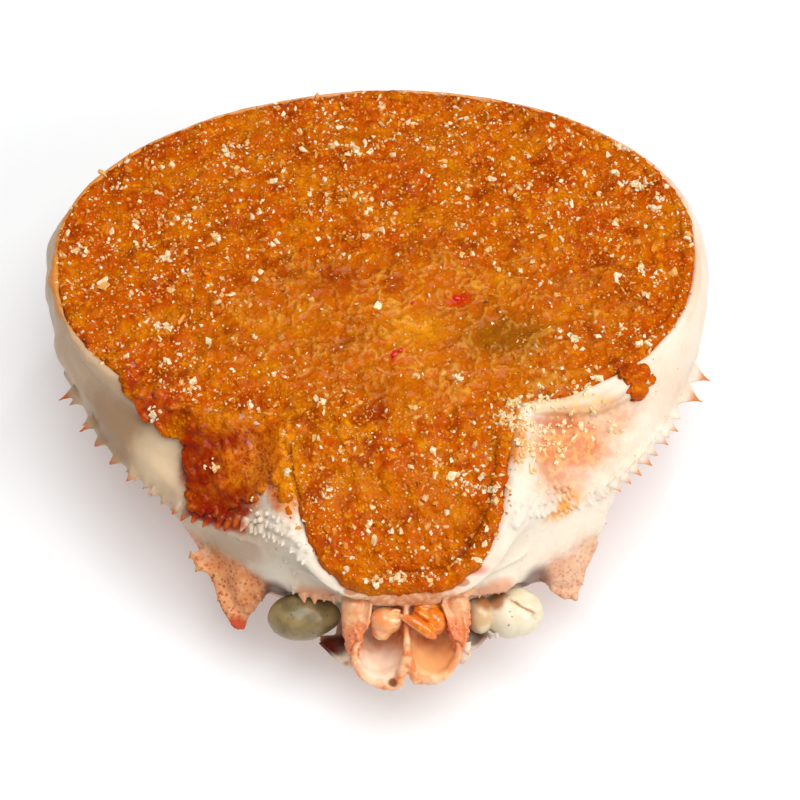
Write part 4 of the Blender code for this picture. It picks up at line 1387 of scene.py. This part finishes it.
class CRAB_OT_crumbs(bpy.types.Operator):
    """Strews toasted crumbs over the crust: coarse ones in drifts, middling ones and fine grains"""

    bl_idname = "crab.crumbs"
    bl_label = "Crumbs"

    def execute(self, context):
        settings = context.scene.crab_crumbs
        chance = random.Random(23)
        self.survey()
        coarse = self.drifts(chance)
        coarse += self.scattered(chance, settings.coarse, (0.45, 0.95), 0.6)
        middling = self.scattered(chance, settings.middling, (0.26, 0.5), 0.5)
        fine = self.scattered(chance, settings.fine, (0.14, 0.25), 0.3)
        for name, places, forms, bevel, pale in (
            ("crumbs_coarse", coarse, 14, 0.2, 0.66),
            ("crumbs_middling", middling, 14, 0, 0.34),
            ("crumbs_fine", fine, 8, 0, 0.16),
        ):
            crumbs = strew(name, crumb_forms(chance, forms, bevel), places, chance)
            complete(crumbs, crumb_look(name, settings.crumb, pale), "filling")
            only(crumbs)
            bpy.ops.object.shade_flat()
        self.shreds(chance)
        return {"FINISHED"}

    def survey(self):
        """Reads the finished crust and shell, so that crumbs lie on whichever is on top."""
        points, faces = [], []
        for name in ("stuffing", "shell"):
            mesh = bpy.context.scene.objects[name].data
            used = len(points)
            points += [v.co.copy() for v in mesh.vertices]
            faces += [tuple(i + used for i in p.vertices) for p in mesh.polygons]
            if name == "stuffing":
                self.wet = stored(mesh, "wet")
        self.faces = faces
        self.tree = BVHTree.FromPolygons(points, faces)

    def fall(self, x, y):
        """Where a crumb dropped here comes to rest, the slope there, and how wet the crust is."""
        hit, slope, face = land(self.tree, x, y, 80 * MM)
        if hit is None or slope.z < 0.25:
            return None
        first = self.faces[face][0]
        return hit, slope, float(self.wet[first]) if first < len(self.wet) else 0

    def drifts(self, chance):
        places = []
        for x, y, spread, count in DRIFTS:
            for _ in range(count):
                found = self.fall(chance.gauss(x, spread * 0.55) * MM, chance.gauss(y, spread * 0.55) * MM)
                if found is None:
                    continue
                place, slope, _ = found
                size = mix(0.32, 0.85, chance.random() ** 1.6) * MM
                places.append((place, slope, size, 0.5))
                for _ in range(chance.choice((0, 0, 1, 2, 2))):
                    beside = place + Vector([chance.uniform(-1, 1) for _ in range(3)]) * size * 0.8
                    places.append((beside, slope, size * chance.uniform(0.5, 0.9), 0.5))
        return places

    def scattered(self, chance, count, sizes, patchy):
        places = []
        while len(places) < count:
            x, y = chance.uniform(-66, 63) * MM, chance.uniform(-63, 53) * MM
            if not inside_opening(x, y, 0.3 * MM):
                continue
            thick = noise.noise(Vector((x, y, sizes[0])) / (7 * MM))
            thick += 0.5 * noise.noise(Vector((x, y, 0)) / (2.2 * MM))
            if chance.random() > 0.5 + patchy * thick * 1.6:
                continue
            found = self.fall(x, y)
            if found is None or chance.random() < 0.8 * found[2]:
                continue
            size = mix(sizes[0], sizes[1], chance.random() ** 2) * MM
            places.append((found[0], found[1], size, 0))
        return places

    def shreds(self, chance):
        """A few dark threads and specks and a few red shreds on the crust."""
        made = []
        for x, y, long in THREADS:
            place, slope, _ = self.fall(x * MM, y * MM)
            turn = chance.uniform(0, 180)
            way = Vector((math.cos(math.radians(turn)), math.sin(math.radians(turn)), 0)) * long * MM / 2
            lift = slope * 0.12 * MM
            bend = Vector((chance.uniform(-0.2, 0.2), chance.uniform(-0.2, 0.2), 0.15)) * MM
            points = [place - way + lift, place + bend + lift, place + way + lift]
            made.append(tube(points, mm(0.08, 0.12, 0.06)))
        look = Look("dark_thread", Roughness=0.5, Base_Color=(38, 24, 14))
        complete(join(made, "threads"), look.material, "filling")
        made = []
        for x, y, size in RED_SHREDS:
            place, slope, _ = self.fall(x * MM, y * MM)
            half = Vector((size, size * 0.65, 0.3)) * MM
            turn = (0, 0, chance.uniform(0, 3))
            made.append(ball(place + slope * 0.15 * MM, half, turn, 12, 8))
        look = Look("red_shred", Roughness=0.3, Subsurface_Weight=0.2, Subsurface_Scale=0.0006,
                    Base_Color=(206, 24, 4))
        complete(join(made, "red_shreds"), look.material, "filling")


# ---- eyes and small limbs ----

# Corners of the two upright plates beside the eyes, in millimetres
COLUMNS = {
    "left": (
        (-12.4, -61, 27), (-10.6, -63.6, 26.5), (-10, -66.1, 25.5), (-9.8, -67.2, 24), (-8.8, -68, 22.8),
        (-7.6, -66.8, 24.8), (-7.1, -65.2, 26.5), (-6.2, -63.5, 28), (-6.7, -61.4, 29.2),
        (-9.6, -60.4, 30)),
    "right": (
        (7.1, -61.6, 29.2), (6.9, -63.6, 28), (8, -65.6, 26.5), (8.4, -67.1, 25), (9.2, -68.9, 23.4),
        (10.7, -69.4, 22), (11.5, -68.5, 23), (11.2, -67.1, 24.5), (11, -65, 26), (11.4, -62.7, 27),
        (13.6, -60.8, 28), (10.5, -60.4, 30.2)),
}


def eye_look(name, base, cloud, speck, rim):
    look = Look(name, Roughness=0.35, Specular_IOR_Level=0.4, Coat_Weight=0.2, Coat_Roughness=0.12)
    look.tint = look.blend(look.noise(4, 3).fade(0.38, 0.66), base, cloud)
    dots = look.cells(1.25).fade(0.2, 0.12)
    rare = look.noise(2, seed=4).fade(0.5, 0.6)
    look.paint(dots * rare * 0.85, speck)
    low = look.axis("Z").fade_mm(17.5, 15)
    look.paint(low * 0.7, rim)
    lid = look.spot((16.4, -59.8, 24.4), (3.4, 3.4, 2.6), 0.2, (look.noise(2, 3) - 0.5) * 0.5)
    look.paint(look.most(look.kept("crack"), lid * 0.85), (164, 96, 34))
    return look.finish(look.bump(look.noise(1.6, 3, 0.6), 0.15, 0.4))


class CRAB_OT_eyes(bpy.types.Operator):
    """Models the two cooked eyes and the right eye's stalk"""

    bl_idname = "crab.eyes"
    bl_label = "Eyes"

    def execute(self, context):
        settings = context.scene.crab_face
        for name, node, half, look, tints in (
            ("eye_bead_left", "eye_left", settings.eye_left_half, "left_eye",
             ((112, 97, 60), (150, 127, 84), (46, 40, 28), (176, 146, 96))),
            ("eye_bead_right", "eye_right", settings.eye_right_half, "right_eye",
             ((214, 200, 166), (230, 216, 188), (110, 78, 40), (214, 184, 134))),
        ):
            low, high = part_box(node)
            centre = (low + high) / 2
            if "right" in name:
                centre.x -= 0.7 * MM
            eye = ball(centre, half, segments=48, rings=32)
            carve = Relief(name + "_relief")
            x = carve.axis("X") - centre.x
            dents = 0.8 * MM * (carve.noise(4) - 0.5)
            if "left" in name:
                fuller = 1 * MM * x.fade_mm(6, -5, -0.7, 0.5)
                carve.move(carve.normal, dents + fuller)
            else:
                bent = x * 0.55 + (carve.axis("Y") - centre.y)
                bent = bent + 1.6 * MM * (carve.noise(3) - 0.5)
                crack = abs(bent).fade_mm(0.45, 0.1)
                crack = crack * x.fade_mm(-1.2, 0.4)
                carve.keep("crack", crack)
                carve.move(carve.normal, dents - 0.35 * MM * crack)
            carve.apply(eye)
            eye.name = name
            complete(eye, eye_look(look, *tints), "eye", node)
        low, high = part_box("eye_stalk_right")
        centre = (low + high) / 2 + Vector((0.9 * MM, 0, 0))
        stalk = ball(centre, (high - low) / 2 + Vector((1, 0.2, 0)) * MM, segments=32, rings=20)
        stalk.name = "eye_stalk"
        look = eye_look("stalk", (222, 200, 164), (206, 172, 126), (120, 80, 44), (214, 190, 150))
        complete(stalk, look, "eye_stalk", "eye_stalk_right")
        return {"FINISHED"}


def limb_look(settings):
    look = Look("small_limb", Roughness=0.32, Specular_IOR_Level=0.5, Coat_Weight=0.2, Coat_Roughness=0.15,
                Subsurface_Weight=0.1, Subsurface_Scale=0.0015)
    height = look.axis("Z")
    base = look.blend(look.noise(4, 3).fade(0.4, 0.62), (232, 178, 130), (222, 144, 92))
    low = (height + 6 * MM * (look.noise(3) - 0.5)).fade_mm(28.5, 24)
    look.tint = look.blend(low * 0.85, base, settings.limb)
    dots = look.cells(0.9).fade(0.3, 0.12)
    look.paint(dots * low * 0.8, (176, 44, 10))
    return look.finish(look.bump(look.noise(0.7, 3), 0.15, 0.6))


# The folded antennules: rounded forms as centre, half size and turn, and bars as points with a radius
ANTENNULES = {
    "left": ((
        ((-3.9, -64.7, 24.2), (3.2, 2.7, 3.5), (0.4, 0, -0.2)),
        ((-2, -64.9, 25.2), (1.5, 1.8, 1.7), (0, 0, 0)),
        ((-4.6, -66, 23), (2, 2, 2.3), (0, 0, 0)),
    ), (
        ((-0.7, -65.4, 26.8, 0.3), (-1.7, -66.5, 26.2, 0.45), (-2.8, -66.2, 26, 0.5),
         (-3.1, -64.8, 26.6, 0.5), (-2.1, -63.8, 27.2, 0.45), (-1, -64.4, 27, 0.3)),
    )),
    "right": ((
        ((5.4, -65, 24.2), (2.3, 2.9, 3.6), (0.4, 0, 0.25)),
        ((3.2, -64.5, 24.8), (2.2, 2, 2.2), (0, 0, 0)),
        ((4.2, -63.2, 26.2), (2.6, 1.2, 1.1), (0, 0, 0)),
    ), (
        ((-1.2, -65.4, 27.2, 0.3), (-0.5, -65.8, 27.3, 0.75), (0.8, -66.4, 27.4, 1), (2.4, -67.4, 27, 1.3),
         (3.9, -68.3, 26.2, 1.4), (4.9, -69, 25.5, 1), (5.5, -69.4, 25, 0.3)),
        ((1.6, -64.2, 27, 0.25), (2.4, -64.6, 27.2, 0.55), (3.6, -65.5, 27.1, 0.65),
         (4.8, -66.6, 26.3, 0.25)),
        ((5.6, -63.6, 26.8, 0.25), (6.3, -64.6, 26.4, 0.5), (6.6, -66, 25.2, 0.5), (6.4, -67, 24.2, 0.25)),
    )),
}


class CRAB_OT_limbs(bpy.types.Operator):
    """Models the antenna bases and the folded antennules between them"""

    bl_idname = "crab.limbs"
    bl_label = "Small limbs"

    def execute(self, context):
        settings = context.scene.crab_face
        look = limb_look(settings)
        for word in ("left", "right"):
            plate = slab(COLUMNS[word], (0, 0.8, -0.8))
            shank = copy_of("antenna_base_" + word, "shank")
            modify(shank, "SUBSURF", levels=1, render_levels=1)
            edges = [bar([(*corner, 0.38) for corner in COLUMNS[word][1:5]]),
                     bar([(*corner, 0.34) for corner in COLUMNS[word][5:9]])]
            limb = join([plate, shank] + edges, "antenna_plate_" + word)
            melt(limb, 0.18 * MM, 6)
            carve = Relief(word + "_plate_relief")
            low = carve.axis("Z").fade_mm(28, 24.5)
            cells = carve.cells(0.95, "SMOOTH_F1", place=carve.stirred(0.5, 1.2))
            wave = 0.4 * MM * (carve.noise(2.4) - 0.5)
            carve.move(carve.normal, wave + cells.fade(0.5, 0.1) * (0.3 * MM * low))
            carve.apply(limb)
            complete(limb, look, "small_limb", "antenna_base_" + word)
        glossy = Look("antennule_glaze", Roughness=0.18, Coat_Weight=0.5, Coat_Roughness=0.06,
                      Subsurface_Weight=0.4, Subsurface_Scale=0.0015)
        mixed = glossy.noise(3, 3).fade(0.42, 0.6)
        glossy.tint = glossy.blend(glossy.axis("X").fade_mm(-2, 2),
                                   glossy.blend(mixed, (240, 158, 96), (246, 186, 130)),
                                   glossy.blend(mixed, (222, 112, 6), (236, 150, 52)))
        glaze = glossy.finish(glossy.bump(glossy.noise(1.2), 0.2, 0.5))
        for word in ("left", "right"):
            forms, bars = ANTENNULES[word]
            parts = [ball(mm(*centre), mm(*half), turn) for centre, half, turn in forms]
            limb = join(parts + [bar(spots) for spots in bars], "antennule_fold_" + word)
            melt(limb, 0.16 * MM, 10)
            carve = Relief(word + "_fold_relief")
            carve.move(carve.normal, 0.5 * MM * (carve.noise(1.8, 3) - 0.5))
            carve.apply(limb)
            complete(limb, glaze, "antennule", "antennule_" + word)
        return {"FINISHED"}


# ---- stage ----


class CRAB_OT_stage(bpy.types.Operator):
    """Sets the plain floor, the soft light from the right and the camera"""

    bl_idname = "crab.stage"
    bl_label = "Stage"

    def execute(self, context):
        settings = context.scene.crab_stage
        aim = Vector(settings.aim)
        heading, rise = settings.azimuth, settings.elevation
        level = math.cos(rise)
        back = Vector((math.sin(heading) * level, -math.cos(heading) * level, math.sin(rise)))
        bpy.ops.object.camera_add(location=aim + back * settings.distance)
        camera = active()
        camera.rotation_euler = (-back).to_track_quat("-Z", "Y").to_euler()
        camera.data.sensor_width = 36
        camera.data.lens = settings.lens
        context.scene.camera = camera

        bpy.ops.mesh.primitive_circle_add(vertices=96, radius=3, fill_type="NGON")
        floor = active()
        floor.name = "floor"
        look = Look("floor", Base_Color=settings.floor, Roughness=0.8, Specular_IOR_Level=0.2,
                    Emission_Color=(255, 255, 255), Emission_Strength=settings.floor_glow)
        floor.data.materials.append(look.material)

        for name, place, size, power in (
            ("key", (0.78, -0.5, 0.62), 0.5, settings.key_power),
            ("top", (0.12, -0.14, 1.15), 0.9, settings.key_power * 2.3),
            ("glint", (0.25, 0.55, 0.85), 0.05, settings.key_power * 0.16),
        ):
            bpy.ops.object.light_add(type="AREA", location=place)
            lamp = active()
            lamp.name = name
            lamp.rotation_euler = (Vector(place) - aim).to_track_quat("Z", "Y").to_euler()
            lamp.data.size = size
            lamp.data.energy = power

        world = bpy.data.worlds.new("studio")
        world.use_nodes = True
        sky = world.node_tree.nodes["Background"]
        sky.inputs["Color"].default_value = (1, 1, 1, 1)
        sky.inputs["Strength"].default_value = settings.sky
        context.scene.world = world
        context.scene.view_settings.view_transform = "Standard"
        return {"FINISHED"}


class CRAB_PT_panel(bpy.types.Panel):
    """Lists the pieces and their settings"""

    bl_label = "Stuffed crab shell"
    bl_idname = "CRAB_PT_panel"
    bl_space_type = "VIEW_3D"
    bl_region_type = "UI"
    bl_category = "Crab"

    def draw(self, context):
        for group, operators in PANEL_ROWS:
            box = self.layout.box()
            settings = getattr(context.scene, group)
            for name in settings.__annotations__:
                box.prop(settings, name)
            for operator in operators:
                box.operator(operator)


PANEL_ROWS = (
    ("crab_filling", ("crab.filling",)),
    ("crab_shell", ("crab.shell",)),
    ("crab_crumbs", ("crab.crumbs",)),
    ("crab_face", ("crab.eyes", "crab.limbs")),
    ("crab_stage", ("crab.stage",)),
)
SETTINGS = {
    "crab_shell": CrabShellSettings,
    "crab_filling": CrabFillingSettings,
    "crab_crumbs": CrabCrumbSettings,
    "crab_face": CrabFaceSettings,
    "crab_stage": CrabStageSettings,
}
CLASSES = (
    *SETTINGS.values(),
    CRAB_OT_filling,
    CRAB_OT_shell,
    CRAB_OT_crumbs,
    CRAB_OT_eyes,
    CRAB_OT_limbs,
    CRAB_OT_stage,
    CRAB_PT_panel,
)


def register():
    for made in CLASSES:
        bpy.utils.register_class(made)
    for name, group in SETTINGS.items():
        setattr(bpy.types.Scene, name, PointerProperty(type=group))


def unregister():
    for name in SETTINGS:
        delattr(bpy.types.Scene, name)
    for made in reversed(CLASSES):
        bpy.utils.unregister_class(made)


def main():
    register()
    bpy.ops.crab.filling()
    bpy.ops.crab.shell()
    bpy.ops.crab.crumbs()
    bpy.ops.crab.eyes()
    bpy.ops.crab.limbs()
    bpy.ops.crab.stage()


if __name__ == "__main__":
    main()
